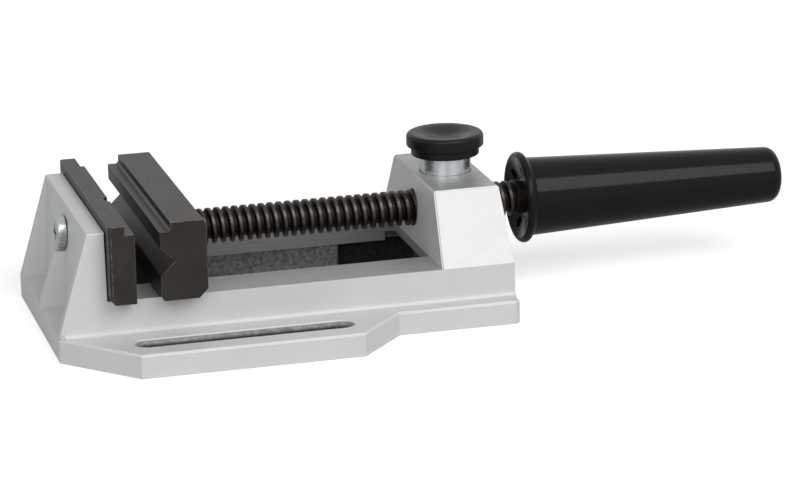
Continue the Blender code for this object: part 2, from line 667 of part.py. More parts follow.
def threaded_rod(name, start, end, clearance):
    """A right-hand trapezoidal thread about the spindle's axis, cut off square at both ends.

    Clearance moves the whole thread form outwards, which makes the matching nut's cutter.
    """
    crest_radius = THREAD_DIAMETER / 2 + clearance
    root_radius = THREAD_DIAMETER / 2 - THREAD_DEPTH + clearance
    slope = math.tan(FLANK_ANGLE)
    shift = clearance / math.cos(FLANK_ANGLE) - clearance * slope
    half_crest = THREAD_CREST / 2 + shift
    half_root = half_crest + (crest_radius - root_radius) * slope
    form = [(-half_root, root_radius), (-half_crest, crest_radius)]
    form += [(half_crest, crest_radius), (half_root, root_radius)]
    turns = math.ceil((end - start) / THREAD_PITCH) + 3
    count = turns * THREAD_STEPS
    phase = THREAD_START % THREAD_PITCH
    first = (math.floor((start - phase) / THREAD_PITCH) - 1) * THREAD_PITCH + phase
    bm = bmesh.new()
    rows = []
    for i in range(count + 1):
        angle = math.tau * i / THREAD_STEPS
        advance = first + THREAD_PITCH * i / THREAD_STEPS
        row = []
        for along, radius in form:
            y = radius * math.cos(angle)
            z = AXIS_Z + radius * math.sin(angle)
            row.append(bm.verts.new((advance + along, y, z)))
        rows.append(row)
    for i in range(count):
        for j in range(3):
            bm.faces.new((rows[i][j], rows[i + 1][j], rows[i + 1][j + 1], rows[i][j + 1]))
    for i in range(count - THREAD_STEPS):
        bm.faces.new((rows[i][3], rows[i + 1][3], rows[i + 1 + THREAD_STEPS][0], rows[i + THREAD_STEPS][0]))
    for place, normal in ((start, (-1.0, 0.0, 0.0)), (end, (1.0, 0.0, 0.0))):
        geometry = bm.verts[:] + bm.edges[:] + bm.faces[:]
        plane = (place, 0.0, AXIS_Z)
        found = bmesh.ops.bisect_plane(
            bm, geom=geometry, dist=1e-7, plane_co=plane, plane_no=normal, clear_outer=True
        )
        rim = [item for item in found["geom_cut"] if isinstance(item, bmesh.types.BMEdge)]
        bmesh.ops.contextual_create(bm, geom=rim)
    return mesh_object(name, bm)


def build_spindle():
    """The threaded spindle, with a grooved journal at the jaw and a plain shank and tail in the handle."""
    spindle = threaded_rod("spindle", THREAD_START, THREAD_END, 0.0)
    journal = JOURNAL_DIAMETER / 2
    groove = GROOVE_DIAMETER / 2
    tip = THREAD_START - JOURNAL_LENGTH
    groove_end = THREAD_START - GROOVE_FROM_SHOULDER
    groove_start = groove_end - GROOVE_WIDTH
    bevel = SPINDLE_EDGE
    profile = [(tip, journal - bevel), (tip + bevel, journal), (groove_start, journal)]
    profile += [(groove_start, groove), (groove_end, groove), (groove_end, journal)]
    profile += [(THREAD_START + JOIN_OVERLAP, journal)]
    axis_point = Vector((0.0, 0.0, AXIS_Z))
    add(spindle, turned("journal", profile, "X", axis_point, SMALL_ROUND))
    shank = SHANK_DIAMETER / 2
    tail = TAIL_DIAMETER / 2
    tail_end = SHANK_END + TAIL_LENGTH
    profile = [(THREAD_END - JOIN_OVERLAP, journal), (THREAD_END, journal), (THREAD_END, shank)]
    profile += [(SHANK_END, shank), (SHANK_END, tail), (tail_end - bevel, tail), (tail_end, tail - bevel)]
    add(spindle, turned("shank", profile, "X", axis_point, SMALL_ROUND))
    cut(spindle, handle_pin_hole())
    return spindle


def handle_pin_hole():
    """The hole for the handle pin, through the insert and the spindle's tail."""
    place = Vector((HANDLE_PIN_X, 0.0, AXIS_Z))
    reach = INSERT_DIAMETER
    return rod("pin_hole", "Z", place, HANDLE_PIN_DIAMETER / 2 + SEAT_GAP, -reach, reach, PIN_ROUND)


def build_handle_pin():
    """The pin that makes the spindle turn with the insert and the grip."""
    place = Vector((HANDLE_PIN_X, 0.0, AXIS_Z))
    half = INSERT_DIAMETER / 2 - HANDLE_PIN_SINK
    return rod("handle_pin", "Z", place, HANDLE_PIN_DIAMETER / 2, -half, half, PIN_ROUND)


def build_handle():
    """The moulded grip: a dished flange, a long taper and a rounded end, bored for its metal insert."""
    face = FLANGE_FACE
    rim = FLANGE_DIAMETER / 2
    back = face + FLANGE_THICK
    edge = FLANGE_THICK / 2
    grip = GRIP_DIAMETER / 2
    end_grip = GRIP_END_DIAMETER / 2
    corner = GRIP_END_RADIUS
    insert = INSERT_DIAMETER / 2 + SEAT_GAP
    floor = face + FLANGE_DISH
    pocket = floor + INSERT_LENGTH + INSERT_POCKET_SPARE
    profile = [(pocket, insert), (floor, insert), (floor, rim - FLANGE_RIM - FLANGE_SLOPE)]
    profile += [(face, rim - FLANGE_RIM)]
    profile += arc((face + edge, rim - edge), edge, 150.0, 30.0, 4)
    profile += [(back, rim - FLANGE_RIM), (back, grip + GRIP_START_EDGE), (back + GRIP_START_EDGE, grip)]
    profile += arc((HANDLE_END - corner, end_grip - corner), corner, 85.0, 10.0, 4)
    profile += [(HANDLE_END, end_grip - 2 * corner)]
    axis_point = Vector((0.0, 0.0, AXIS_Z))
    handle = turned("handle_grip", profile, "X", axis_point, FINE_ROUND)
    radius = FLANGE_HOLE_DIAMETER / 2
    circle = insert + FLANGE_HOLE_WALL + radius
    for i in range(FLANGE_HOLES):
        angle = FLANGE_HOLE_START + math.tau * i / FLANGE_HOLES
        place = Vector((0.0, circle * math.cos(angle), AXIS_Z + circle * math.sin(angle)))
        cut(handle, rod("hole", "X", place, radius, face - MM, floor + FLANGE_HOLE_DEPTH, PIN_ROUND))
    return handle


def build_insert():
    """The metal insert moulded into the grip, which holds the spindle's tail."""
    end = INSERT_START + INSERT_LENGTH
    inner = TAIL_DIAMETER / 2 + SEAT_GAP
    outer = INSERT_DIAMETER / 2
    profile = [(INSERT_START, inner), (INSERT_START, outer), (end, outer), (end, inner)]
    axis_point = Vector((0.0, 0.0, AXIS_Z))
    insert = turned("handle_insert", profile, "X", axis_point, SMALL_ROUND, hollow=True)
    cut(insert, handle_pin_hole())
    return insert


def build_plunger():
    """The button's plunger, with a window for the spindle that is threaded below as a half nut.

    The threads begin a little below the axis, so that the plunger can drop straight off the spindle.
    """
    radius = PLUNGER_DIAMETER / 2
    bevel = PLUNGER_EDGE
    profile = [(PLUNGER_BOTTOM, radius - bevel), (PLUNGER_BOTTOM + bevel, radius)]
    profile += [(PLUNGER_TOP - bevel, radius), (PLUNGER_TOP, radius - bevel)]
    centre = Vector((BUTTON_X, 0.0, 0.0))
    plunger = turned("button_plunger", profile, "Z", centre, FINE_ROUND)
    half = THREAD_DIAMETER / 2 + WINDOW_GAP
    lower = AXIS_Z - NUT_RELIEF
    window = [(-half, lower), (half, lower)] + arc((0.0, AXIS_Z + BUTTON_TRAVEL), half, 0.0, 180.0, 12)
    reach = radius + THREAD_PITCH
    cut(plunger, prism("window", window, "X", BUTTON_X - reach, BUTTON_X + reach))
    cut(plunger, threaded_rod("nut_thread", BUTTON_X - reach, BUTTON_X + reach, RUNNING_GAP))
    pocket = SPRING_DIAMETER / 2 + BORE_GAP
    pocket_top = PLUNGER_BOTTOM + SPRING_POCKET_DEPTH
    cut(plunger, rod("spring_pocket", "Z", centre, pocket, 0.0, pocket_top, SMALL_ROUND))
    tapped = STUD_DIAMETER / 2 + SEAT_GAP
    tapped_bottom = PLUNGER_TOP + STUD_IN_CAP - STUD_LENGTH - SEAT_GAP
    tapped_top = PLUNGER_TOP + CUT_OVERLAP
    cut(plunger, rod("tapped_hole", "Z", centre, tapped, tapped_bottom, tapped_top, SCREW_ROUND))
    return plunger


def build_cap():
    """The moulded cap: a stepped drum with a dished top, recessed below for the plunger and its stud."""
    top = CAP_BOTTOM + CAP_HEIGHT
    step_top = CAP_BOTTOM + CAP_STEP_HEIGHT
    step = CAP_STEP_DIAMETER / 2
    rim = CAP_DIAMETER / 2
    dish = rim - CAP_RIM_WIDTH
    recess = PLUNGER_DIAMETER / 2 + SEAT_GAP
    recess_top = PLUNGER_TOP + SEAT_GAP
    tapped = STUD_DIAMETER / 2 + SEAT_GAP
    tapped_top = PLUNGER_TOP + STUD_IN_CAP + SEAT_GAP
    profile = [(tapped_top, tapped), (recess_top, tapped), (recess_top, recess)]
    edge = CAP_STEP_EDGE
    profile += [(CAP_BOTTOM, recess), (CAP_BOTTOM, step - edge), (CAP_BOTTOM + edge, step)]
    profile += [(step_top - edge, step), (step_top, rim - CAP_RIM_EDGE), (step_top + CAP_RIM_EDGE, rim)]
    corner = CAP_RIM_RADIUS
    profile += [(z, r) for r, z in arc((rim - corner, top - corner), corner, 0.0, 90.0, 3)]
    for i in range(DISH_STEPS):
        share = i / DISH_STEPS
        profile.append((top - DISH_DEPTH * math.sin(share * math.pi / 2) ** 2, dish * (1.0 - share)))
    return turned("button_cap", profile, "Z", Vector((BUTTON_X, 0.0, 0.0)), FINE_ROUND)


def build_stud():
    """The headless screw that joins the cap to the plunger."""
    end = PLUNGER_TOP + STUD_IN_CAP
    centre = Vector((BUTTON_X, 0.0, 0.0))
    return rod("cap_stud", "Z", centre, STUD_DIAMETER / 2, end - STUD_LENGTH, end, SCREW_ROUND)


def build_spring():
    """The coil spring that lifts the half nut into the thread."""
    bottom = PLUG_TOP + SEAT_GAP + SPRING_WIRE / 2
    top = PLUNGER_BOTTOM + SPRING_POCKET_DEPTH - SEAT_GAP - SPRING_WIRE / 2
    radius = (SPRING_DIAMETER - SPRING_WIRE) / 2
    count = round(SPRING_TURNS * SPRING_STEPS)
    curve = bpy.data.curves.new("plunger_spring", "CURVE")
    curve.dimensions = "3D"
    curve.bevel_depth = SPRING_WIRE / 2
    curve.bevel_resolution = 1
    curve.use_fill_caps = True
    line = curve.splines.new("POLY")
    line.points.add(count)
    for i in range(count + 1):
        angle = math.tau * i / SPRING_STEPS
        height = bottom + (top - bottom) * i / count
        point = (BUTTON_X + radius * math.cos(angle), radius * math.sin(angle), height, 1.0)
        line.points[i].co = point
    made = bpy.data.objects.new("plunger_spring", curve)
    bpy.context.collection.objects.link(made)
    mesh = bpy.data.meshes.new_from_object(made.evaluated_get(bpy.context.evaluated_depsgraph_get()))
    bpy.data.objects.remove(made)
    bm = bmesh.new()
    bm.from_mesh(mesh)
    bmesh.ops.remove_doubles(bm, verts=bm.verts, dist=1e-6)
    return mesh_object("plunger_spring", bm)


def build_plug():
    """The round plate that the spring stands on."""
    centre = Vector((BUTTON_X, 0.0, 0.0))
    return rod("spring_plug", "Z", centre, PLUNGER_DIAMETER / 2, PLUG_BOTTOM, PLUG_TOP)


def build_ring():
    """The open retaining ring below the plug, sprung into its groove in the boss."""
    bottom = RING_TOP - RING_THICK
    outer = BORE_RADIUS + RING_DEPTH - RUNNING_GAP
    inner = outer - RING_WIDTH
    profile = [(bottom, inner), (bottom, outer), (RING_TOP, outer), (RING_TOP, inner)]
    ring = turned("retaining_ring", profile, "Z", Vector((BUTTON_X, 0.0, 0.0)), ROUND, hollow=True)
    half = RING_MOUTH / 2
    low = (BUTTON_X, -half, bottom - MM)
    cut(ring, box("mouth", low, (BUTTON_X + outer + MM, half, RING_TOP + MM)))
    return ring


def main():
    """Builds every piece and hangs it under the origin."""
    for old in list(bpy.data.objects):
        bpy.data.objects.remove(old)
    root = bpy.data.objects.new("vise_origin", None)
    root.location = (-ORIGIN_X, 0.0, 0.0)
    bpy.context.collection.objects.link(root)

    cast = material("cast_aluminium", (0.60, 0.61, 0.62), 0.45, 0.6)
    jaw_steel = material("dark_jaw_steel", (0.06, 0.052, 0.046), 0.4, 0.8)
    thread_steel = material("oiled_thread_steel", (0.07, 0.05, 0.04), 0.4, 0.8)
    zinc = material("zinc_plated_steel", (0.62, 0.65, 0.67), 0.3, 0.9)
    plain_steel = material("plain_steel", (0.35, 0.35, 0.36), 0.4, 0.9)
    grip_plastic = material("gloss_black_plastic", (0.012, 0.012, 0.013), 0.2, 0.0)
    cap_plastic = material("satin_black_plastic", (0.018, 0.018, 0.018), 0.45, 0.0)

    base_point = Vector((0.0, 0.0, 0.0))
    jaw_point = Vector((MOVING_JAW_FACE, 0.0, RAIL_TOP))
    spindle_point = Vector((THREAD_START, 0.0, AXIS_Z))
    button_point = Vector((BUTTON_X, 0.0, BLOCK_TOP_Z))
    screw_point = Vector((SPOT_FACE_X, 0.0, SCREW_Z))
    plug_point = Vector((BUTTON_X, 0.0, PLUG_TOP))

    finish(build_casting(), root, base_point, cast)
    finish(build_fixed_jaw(), root, Vector((FIXED_JAW_BACK, 0.0, RAIL_TOP)), jaw_steel)
    finish(build_fixed_jaw_screw(), root, screw_point, zinc, smooth=True)
    finish(build_moving_jaw(), root, jaw_point, jaw_steel)
    finish(build_slide(), root, jaw_point, plain_steel)
    finish(build_keeper(), root, jaw_point, plain_steel)
    for side, place in ((-1, "near"), (1, "far")):
        finish(build_keeper_screw("keeper_screw_" + place, side), root, jaw_point, thread_steel, smooth=True)
        finish(build_pin("spindle_pin_" + place, side), root, jaw_point, plain_steel, smooth=True)
    finish(build_spindle(), root, spindle_point, thread_steel, smooth=True)
    finish(build_handle(), root, spindle_point, grip_plastic, smooth=True)
    finish(build_insert(), root, spindle_point, plain_steel, smooth=True)
    finish(build_handle_pin(), root, spindle_point, plain_steel, smooth=True)
    finish(build_plunger(), root, button_point, zinc, smooth=True)
    finish(build_cap(), root, button_point, cap_plastic, smooth=True)
    finish(build_stud(), root, button_point, plain_steel, smooth=True)
    finish(build_spring(), root, plug_point, plain_steel, smooth=True)
    finish(build_plug(), root, plug_point, plain_steel, smooth=True)
    finish(build_ring(), root, plug_point, plain_steel, smooth=True)


main()
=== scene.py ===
import math

import bmesh
import bpy
from mathutils import Matrix, Vector


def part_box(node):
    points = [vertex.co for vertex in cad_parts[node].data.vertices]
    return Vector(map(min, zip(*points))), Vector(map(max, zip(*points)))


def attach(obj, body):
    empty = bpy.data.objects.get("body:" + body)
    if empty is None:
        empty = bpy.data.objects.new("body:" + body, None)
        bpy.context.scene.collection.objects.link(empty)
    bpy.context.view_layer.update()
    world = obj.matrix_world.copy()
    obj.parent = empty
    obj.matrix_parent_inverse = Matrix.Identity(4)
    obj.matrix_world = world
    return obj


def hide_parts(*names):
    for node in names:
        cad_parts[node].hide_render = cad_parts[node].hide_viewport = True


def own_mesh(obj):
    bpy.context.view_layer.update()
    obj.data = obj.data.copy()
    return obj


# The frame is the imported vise. Its nodes say where each piece goes. Lengths are in metres, and +X runs
# along the spindle, from the fixed jaw to the handle.
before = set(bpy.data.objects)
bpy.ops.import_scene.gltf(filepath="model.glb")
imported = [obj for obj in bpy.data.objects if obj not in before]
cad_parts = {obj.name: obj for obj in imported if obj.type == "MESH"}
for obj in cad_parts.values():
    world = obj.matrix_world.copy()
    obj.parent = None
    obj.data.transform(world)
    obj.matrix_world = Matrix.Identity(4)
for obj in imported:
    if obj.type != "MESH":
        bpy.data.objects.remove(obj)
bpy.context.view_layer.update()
MM = 0.001


# The camera stands far off with a long lens, in front of the near side and a little towards the fixed jaw.
# Its place, angles and lens were fitted to the photograph's edges.
CAMERA_PLACE = Vector((-0.38845, -1.4586, 0.4571))
CAMERA_AZIMUTH = math.radians(14.64)
CAMERA_ELEVATION = math.radians(16.19)
CAMERA_ROLL = math.radians(-1.28)
CAMERA_LENS = 158.0

flat = math.cos(CAMERA_ELEVATION)
forward = Vector((
    math.sin(CAMERA_AZIMUTH) * flat,
    math.cos(CAMERA_AZIMUTH) * flat,
    -math.sin(CAMERA_ELEVATION),
))
level = Vector((math.cos(CAMERA_AZIMUTH), -math.sin(CAMERA_AZIMUTH), 0.0))
upright = level.cross(forward)
rightward = level * math.cos(CAMERA_ROLL) + upright * math.sin(CAMERA_ROLL)
upward = upright * math.cos(CAMERA_ROLL) - level * math.sin(CAMERA_ROLL)
camera_data = bpy.data.cameras.new("camera")
camera_data.lens = CAMERA_LENS
camera_data.sensor_fit = "HORIZONTAL"
camera = bpy.data.objects.new("camera", camera_data)
turned = Matrix((rightward, upward, -forward)).transposed().to_4x4()
camera.matrix_world = Matrix.Translation(CAMERA_PLACE) @ turned
bpy.context.scene.collection.objects.link(camera)
bpy.context.scene.camera = camera
bpy.context.scene.view_settings.view_transform = "Standard"


# The studio is a white table under a pale sky, with a broad lamp high in front, to the right of the camera,
# and a weaker one to its left. Table and sky look white to the camera, and the sky looks brighter in
# reflections than as a source of light.
FLOOR_SIZE = 12.0
FLOOR_DROP = 0.2 * MM
FLOOR_GREY = 0.8
FLOOR_LIFT = 0.55
SKY_LEVEL = 0.32
SKY_REFLECTED = 0.85
SKY_SEEN = 1.0
WHITE = (1.0, 1.0, 1.0, 1.0)
LAMP_TARGET = Vector((0.0, 0.0, 0.03))
LAMPS = {
    "front_lamp": {"place": (0.65, -1.6, 1.6), "size": 1.5, "power": 29.0},
    "side_lamp": {"place": (-1.1, -1.8, 1.2), "size": 1.2, "power": 15.0},
}


def new_material(name):
    """A node material with only its output, its node tree, and that output's socket."""
    made = bpy.data.materials.new(name)
    made.use_nodes = True
    made.node_tree.nodes.clear()
    output = made.node_tree.nodes.new("ShaderNodeOutputMaterial")
    return made, made.node_tree, output.inputs["Surface"]


def add_node(tree, kind, inputs, **settings):
    """Adds a shader node. Each input is a value, or the socket that feeds it."""
    made = tree.nodes.new("ShaderNode" + kind)
    for name, value in settings.items():
        setattr(made, name, value)
    for name, value in inputs.items():
        if isinstance(value, bpy.types.NodeSocket):
            tree.links.new(value, made.inputs[name])
        else:
            made.inputs[name].default_value = value
    return made


world = bpy.data.worlds.new("studio_sky")
world.use_nodes = True
sky_tree = world.node_tree
sky_tree.nodes.clear()
path = sky_tree.nodes.new("ShaderNodeLightPath").outputs
reflected = {"Value": path["Is Glossy Ray"], "To Min": SKY_LEVEL, "To Max": SKY_REFLECTED}
unseen = add_node(sky_tree, "MapRange", reflected).outputs[0]
seen = {"Value": path["Is Camera Ray"], "To Min": unseen, "To Max": SKY_SEEN}
strength = add_node(sky_tree, "MapRange", seen).outputs[0]
sky = add_node(sky_tree, "Background", {"Color": WHITE, "Strength": strength})
add_node(sky_tree, "OutputWorld", {"Surface": sky.outputs[0]})
bpy.context.scene.world = world

table_white, tree, surface = new_material("table_white")
paper = add_node(tree, "BsdfDiffuse", {"Color": (FLOOR_GREY, FLOOR_GREY, FLOOR_GREY, 1.0)})
path = tree.nodes.new("ShaderNodeLightPath").outputs
lift = add_node(tree, "Math", {0: path["Is Camera Ray"], 1: FLOOR_LIFT}, operation="MULTIPLY")
glow = add_node(tree, "Emission", {"Color": WHITE, "Strength": lift.outputs[0]})
lifted = add_node(tree, "AddShader", {0: paper.outputs[0], 1: glow.outputs[0]})
tree.links.new(lifted.outputs[0], surface)

bpy.ops.object.select_all(action="DESELECT")
bpy.ops.mesh.primitive_plane_add(size=FLOOR_SIZE, location=(0.0, 0.0, -FLOOR_DROP))
table = bpy.context.active_object
table.name = "table"
table.data.materials.append(table_white)

for name, lamp in LAMPS.items():
    light = bpy.data.lights.new(name, "AREA")
    light.shape = "SQUARE"
    light.size = lamp["size"]
    light.energy = lamp["power"]
    stand = bpy.data.objects.new(name, light)
    stand.location = lamp["place"]
    aim = LAMP_TARGET - stand.location
    stand.rotation_euler = aim.to_track_quat("-Z", "Y").to_euler()
    bpy.context.scene.collection.objects.link(stand)


# The base is one light-alloy casting, blasted and painted silver. Its rails, the lips of the channel, the
# block's top, the bores and the underside are milled bare. The walls below the lips and in the slots stay as
# they came from the mould. The inside is coloured near-black as painted shade, and the slot walls are
# painted darker towards their bottom as painted shade.
WELD = 0.01 * MM
TIDY_WELD = 0.05 * MM
FLAT_ANGLE = math.radians(0.5)
SMOOTH_ANGLE = math.radians(35.0)
CAST_SHARP = math.radians(50.0)
CAST_SMOOTH = math.radians(28.0)
CAST_ROUNDING = 0.7 * MM
CAST_STEPS = 4
MILLED_SHARE = 0.3
THIN_SHARE = 0.5
HALF_RIB = 2.7 * MM
FOOT_START = 2.7 * MM
SCREW_ROOM = 9.3 * MM
RAIL_HEIGHT = 25.0 * MM
HALF_BODY = 52.0 * MM
HALF_CHANNEL = 30.0 * MM
HALF_ROOM = 46.5 * MM
ROOM_TOP = 20.5 * MM
ROOM_TO_BACK = 5.5 * MM
ROUGH_WALL = 36.5 * MM
SLOT_INNER = 62.5 * MM
SLOT_OUTER = 74.5 * MM
SLOT_SHADE_FULL = 7.2 * MM
SLOT_SHADE_END = 8.6 * MM
SLOT_SHADE_SHARE = 0.1
PLATE_TOP = 10.4 * MM
BLOCK_TOP = 55.0 * MM
BLOCK_LENGTH = 32.7 * MM
SPOT_FACE_DEPTH = 8.0 * MM
BORED_DOWN = 13.0 * MM
BORED_ALONG = 9.0 * MM
JAW_SEAT_GAP = 0.3 * MM
NEAR = 0.15 * MM
FACING = 0.9
SIDEWAYS = 0.1
PAINT_DARK = (0.605, 0.611, 0.607)
PAINT_LIGHT = (0.625, 0.631, 0.627)
MILLED_DARK = (0.39, 0.39, 0.386)
MILLED_LIGHT = (0.48, 0.48, 0.476)
RAW_DARK = (0.09, 0.09, 0.086)
RAW_LIGHT = (0.28, 0.28, 0.272)
INSIDE_SHADE_DARK = (0.022, 0.022, 0.02)
INSIDE_SHADE_LIGHT = (0.05, 0.05, 0.047)
SLOT_DARK = (0.28, 0.28, 0.275)
SLOT_LIGHT = (0.56, 0.56, 0.55)
PAINTED, MILLED, AS_CAST, SHADED_INSIDE, SLOT_WALL = range(5)


def merged_copy(name, node):
    """A new object with the shape of a CAD node, its corners joined and its flat faces whole."""
    bpy.ops.object.select_all(action="DESELECT")
    piece = bpy.data.objects.new(name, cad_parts[node].data.copy())
    piece.data.materials.clear()
    bpy.context.scene.collection.objects.link(piece)
    piece.select_set(True)
    bpy.context.view_layer.objects.active = piece
    bpy.ops.mesh.customdata_custom_splitnormals_clear()
    bpy.ops.object.mode_set(mode="EDIT")
    bpy.ops.mesh.select_all(action="SELECT")
    bpy.ops.mesh.remove_doubles(threshold=WELD)
    bpy.ops.mesh.dissolve_limited(angle_limit=FLAT_ANGLE)
    bpy.ops.object.mode_set(mode="OBJECT")
    return piece


def round_edges(piece, sharp, width, steps, weight, edge_slot=-1):
    """Bevels the outer edges sharper than an angle, each by width times the weight that it is given.

    The new faces get the material slot edge_slot, or their neighbours' one where it is -1.
    """
    shape = bmesh.new()
    shape.from_mesh(piece.data)
    layer = shape.edges.layers.float.new("bevel_weight_edge")
    for edge in shape.edges:
        if edge.is_manifold and edge.is_convex and edge.calc_face_angle() > sharp:
            edge[layer] = weight(edge.verts[0].co, edge.verts[1].co)
    shape.to_mesh(piece.data)
    shape.free()
    bevel = piece.modifiers.new("rounding", "BEVEL")
    bevel.width = width
    bevel.segments = steps
    bevel.limit_method = "WEIGHT"
    bevel.use_clamp_overlap = False
    bevel.material = edge_slot
    bpy.ops.object.modifier_apply(modifier=bevel.name)
    bpy.ops.object.mode_set(mode="EDIT")
    bpy.ops.mesh.select_all(action="SELECT")
    bpy.ops.mesh.remove_doubles(threshold=TIDY_WELD)
    bpy.ops.object.mode_set(mode="OBJECT")


def smooth(piece, angle=SMOOTH_ANGLE):
    """Shades the piece smooth up to an angle, with its flat faces kept flat."""
    bpy.ops.object.select_all(action="DESELECT")
    piece.select_set(True)
    bpy.context.view_layer.objects.active = piece
    bpy.ops.object.shade_smooth_by_angle(angle=angle)
    even = piece.modifiers.new("flat_faces", "WEIGHTED_NORMAL")
    even.keep_sharp = True
    bpy.ops.object.modifier_apply(modifier=even.name)


def principled(name, **values):
    """A material with one Principled shader. Its inputs are named with underscores for spaces."""
    made, tree, surface = new_material(name)
    shader = add_node(tree, "BsdfPrincipled", {key.replace("_", " "): value for key, value in values.items()})
    tree.links.new(shader.outputs[0], surface)
    return made, tree, shader


def feed(shader, **sockets):
    """Links sockets to the shader's inputs, which are named with underscores for spaces."""
    for key, socket in sockets.items():
        shader.id_data.links.new(socket, shader.inputs[key.replace("_", " ")])


def speckle(tree, per_metre, detail=2.0, stretch=(1.0, 1.0, 1.0), roughness=0.5):
    """Noise in the piece's own space, with so many patches per metre."""
    place = tree.nodes.new("ShaderNodeTexCoord").outputs["Object"]
    mapped = add_node(tree, "Mapping", {"Vector": place, "Scale": stretch})
    sockets = {"Vector": mapped.outputs[0], "Scale": per_metre, "Detail": detail, "Roughness": roughness}
    return add_node(tree, "TexNoise", sockets).outputs[0]


def between(tree, share, low=0.0, high=1.0, from_low=0.3, from_high=0.7):
    """A number that runs from low to high as share runs over its usual stretch."""
    sockets = {"Value": share, "From Min": from_low, "From Max": from_high, "To Min": low, "To Max": high}
    return add_node(tree, "MapRange", sockets).outputs[0]


def colour_ramp(tree, share, stops):
    """A colour that runs through stops, given as (position, colour), as share runs from 0 to 1."""
    ramp = tree.nodes.new("ShaderNodeValToRGB")
    elements = ramp.color_ramp.elements
    for position, colour in stops[1:-1]:
        elements.new(position)
    for element, (position, colour) in zip(elements, stops):
        element.color = (*colour, 1.0)
    tree.links.new(share, ramp.inputs[0])
    return ramp.outputs[0]


def mottled(tree, noise, dark, light, from_low=0.3, from_high=0.7):
    """A colour that runs from dark to light as noise runs over its usual stretch."""
    share = between(tree, noise, from_low=from_low, from_high=from_high)
    return colour_ramp(tree, share, ((0.0, dark), (1.0, light)))


def relief(tree, height, depth, below=None):
    """A bump of the given depth in metres, over another one if there is one."""
    sockets = {"Height": height, "Distance": depth, "Strength": 1.0}
    if below is not None:
        sockets["Normal"] = below
    return add_node(tree, "Bump", sockets).outputs[0]


silver_paint, tree, shader = principled("silver_paint", Metallic=0.2, Specular_IOR_Level=0.4)
grain = relief(tree, speckle(tree, per_metre=2600.0, detail=3.0), depth=0.03 * MM)
feed(
    shader,
    Base_Color=mottled(tree, speckle(tree, per_metre=40.0), PAINT_DARK, PAINT_LIGHT),
    Roughness=between(tree, speckle(tree, per_metre=260.0), low=0.47, high=0.52),
    Normal=relief(tree, speckle(tree, per_metre=300.0), depth=0.02 * MM, below=grain),
)

milled_alloy, tree, shader = principled("milled_alloy", Metallic=0.7)
streaks = speckle(tree, per_metre=900.0, detail=3.0, stretch=(0.06, 1.0, 1.0))
feed(
    shader,
    Base_Color=mottled(tree, streaks, MILLED_DARK, MILLED_LIGHT),
    Roughness=between(tree, speckle(tree, per_metre=1500.0), low=0.34, high=0.52),
    Normal=relief(tree, streaks, depth=0.02 * MM),
)

raw_casting, tree, shader = principled("raw_casting", Metallic=0.3, Roughness=0.68)
patches = speckle(tree, per_metre=600.0, detail=5.0, roughness=0.7)
pits = speckle(tree, per_metre=1400.0, detail=4.0, roughness=0.7)
feed(
    shader,
    Base_Color=mottled(tree, patches, RAW_DARK, RAW_LIGHT, from_low=0.35, from_high=0.65),
    Normal=relief(tree, pits, depth=0.25 * MM),
)

# Painted shade: the casting's inside room is coloured near-black to stand for the shade in it.
shade_black, tree, shader = principled("shade_black", Roughness=0.8, Specular_IOR_Level=0.2)
inside_shade_mottle = speckle(tree, per_metre=500.0, detail=4.0)
feed(shader, Base_Color=mottled(tree, inside_shade_mottle, INSIDE_SHADE_DARK, INSIDE_SHADE_LIGHT))

slot_casting, tree, shader = principled("slot_casting", Metallic=0.3, Roughness=0.62)
slot_colour = mottled(tree, speckle(tree, per_metre=500.0, detail=4.0), SLOT_DARK, SLOT_LIGHT)
# Painted shade: the slot walls' colour is darkened towards their bottom to stand for shade.
place = tree.nodes.new("ShaderNodeTexCoord").outputs["Object"]
height = add_node(tree, "SeparateXYZ", {"Vector": place}).outputs["Z"]
unshaded_share = between(tree, height, low=SLOT_SHADE_SHARE, from_low=SLOT_SHADE_FULL, from_high=SLOT_SHADE_END)
shaded = add_node(tree, "VectorMath", {0: slot_colour, "Scale": unshaded_share}, operation="SCALE")
feed(
    shader,
    Base_Color=shaded.outputs[0],
    Normal=relief(tree, speckle(tree, per_metre=900.0, detail=3.0), depth=0.12 * MM),
)

casting_low, casting_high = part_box("base_casting")
front_x = casting_low.x
room_back_x = casting_high.x - ROOM_TO_BACK
block_front_x = casting_high.x - BLOCK_LENGTH
seat_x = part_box("fixed_jaw_plate")[0].x - JAW_SEAT_GAP
screw_low, screw_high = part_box("fixed_jaw_screw")
screw_axis_z = (screw_low.z + screw_high.z) / 2
grip_low, grip_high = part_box("handle_grip")
handle_axis_z = (grip_low.z + grip_high.z) / 2
plunger_low, plunger_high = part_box("button_plunger")
button_x = (plunger_low.x + plunger_high.x) / 2


def casting_weight(first, second):
    """How much of the full rounding an edge of the casting gets."""
    middle = (first + second) / 2
    high = max(first.z, second.z)
    low = min(first.z, second.z)
    back = max(first.x, second.x)
    from_screw = math.hypot(middle.y, middle.z - screw_axis_z)
    at_foot = back < front_x + FOOT_START and low > PLATE_TOP - FOOT_START
    in_room = abs(middle.y) < HALF_ROOM + NEAR and high < ROOM_TOP + NEAR and middle.x > seat_x - NEAR
    at_rail = low > RAIL_HEIGHT - NEAR and high < RAIL_HEIGHT + NEAR and abs(middle.y) > HALF_CHANNEL + NEAR
    on_block = middle.x > block_front_x - NEAR and low > RAIL_HEIGHT - NEAR
    if high < NEAR or at_foot or in_room or at_rail or on_block:
        return 0.0
    if from_screw < SCREW_ROOM and middle.x < seat_x + NEAR:
        return 0.0
    if abs(abs(middle.y) - HALF_CHANNEL) < NEAR:
        return MILLED_SHARE
    if middle.x < seat_x and high - low > FOOT_START:
        return THIN_SHARE
    if abs(middle.y) < HALF_RIB and middle.x < seat_x:
        return THIN_SHARE
    return 1.0


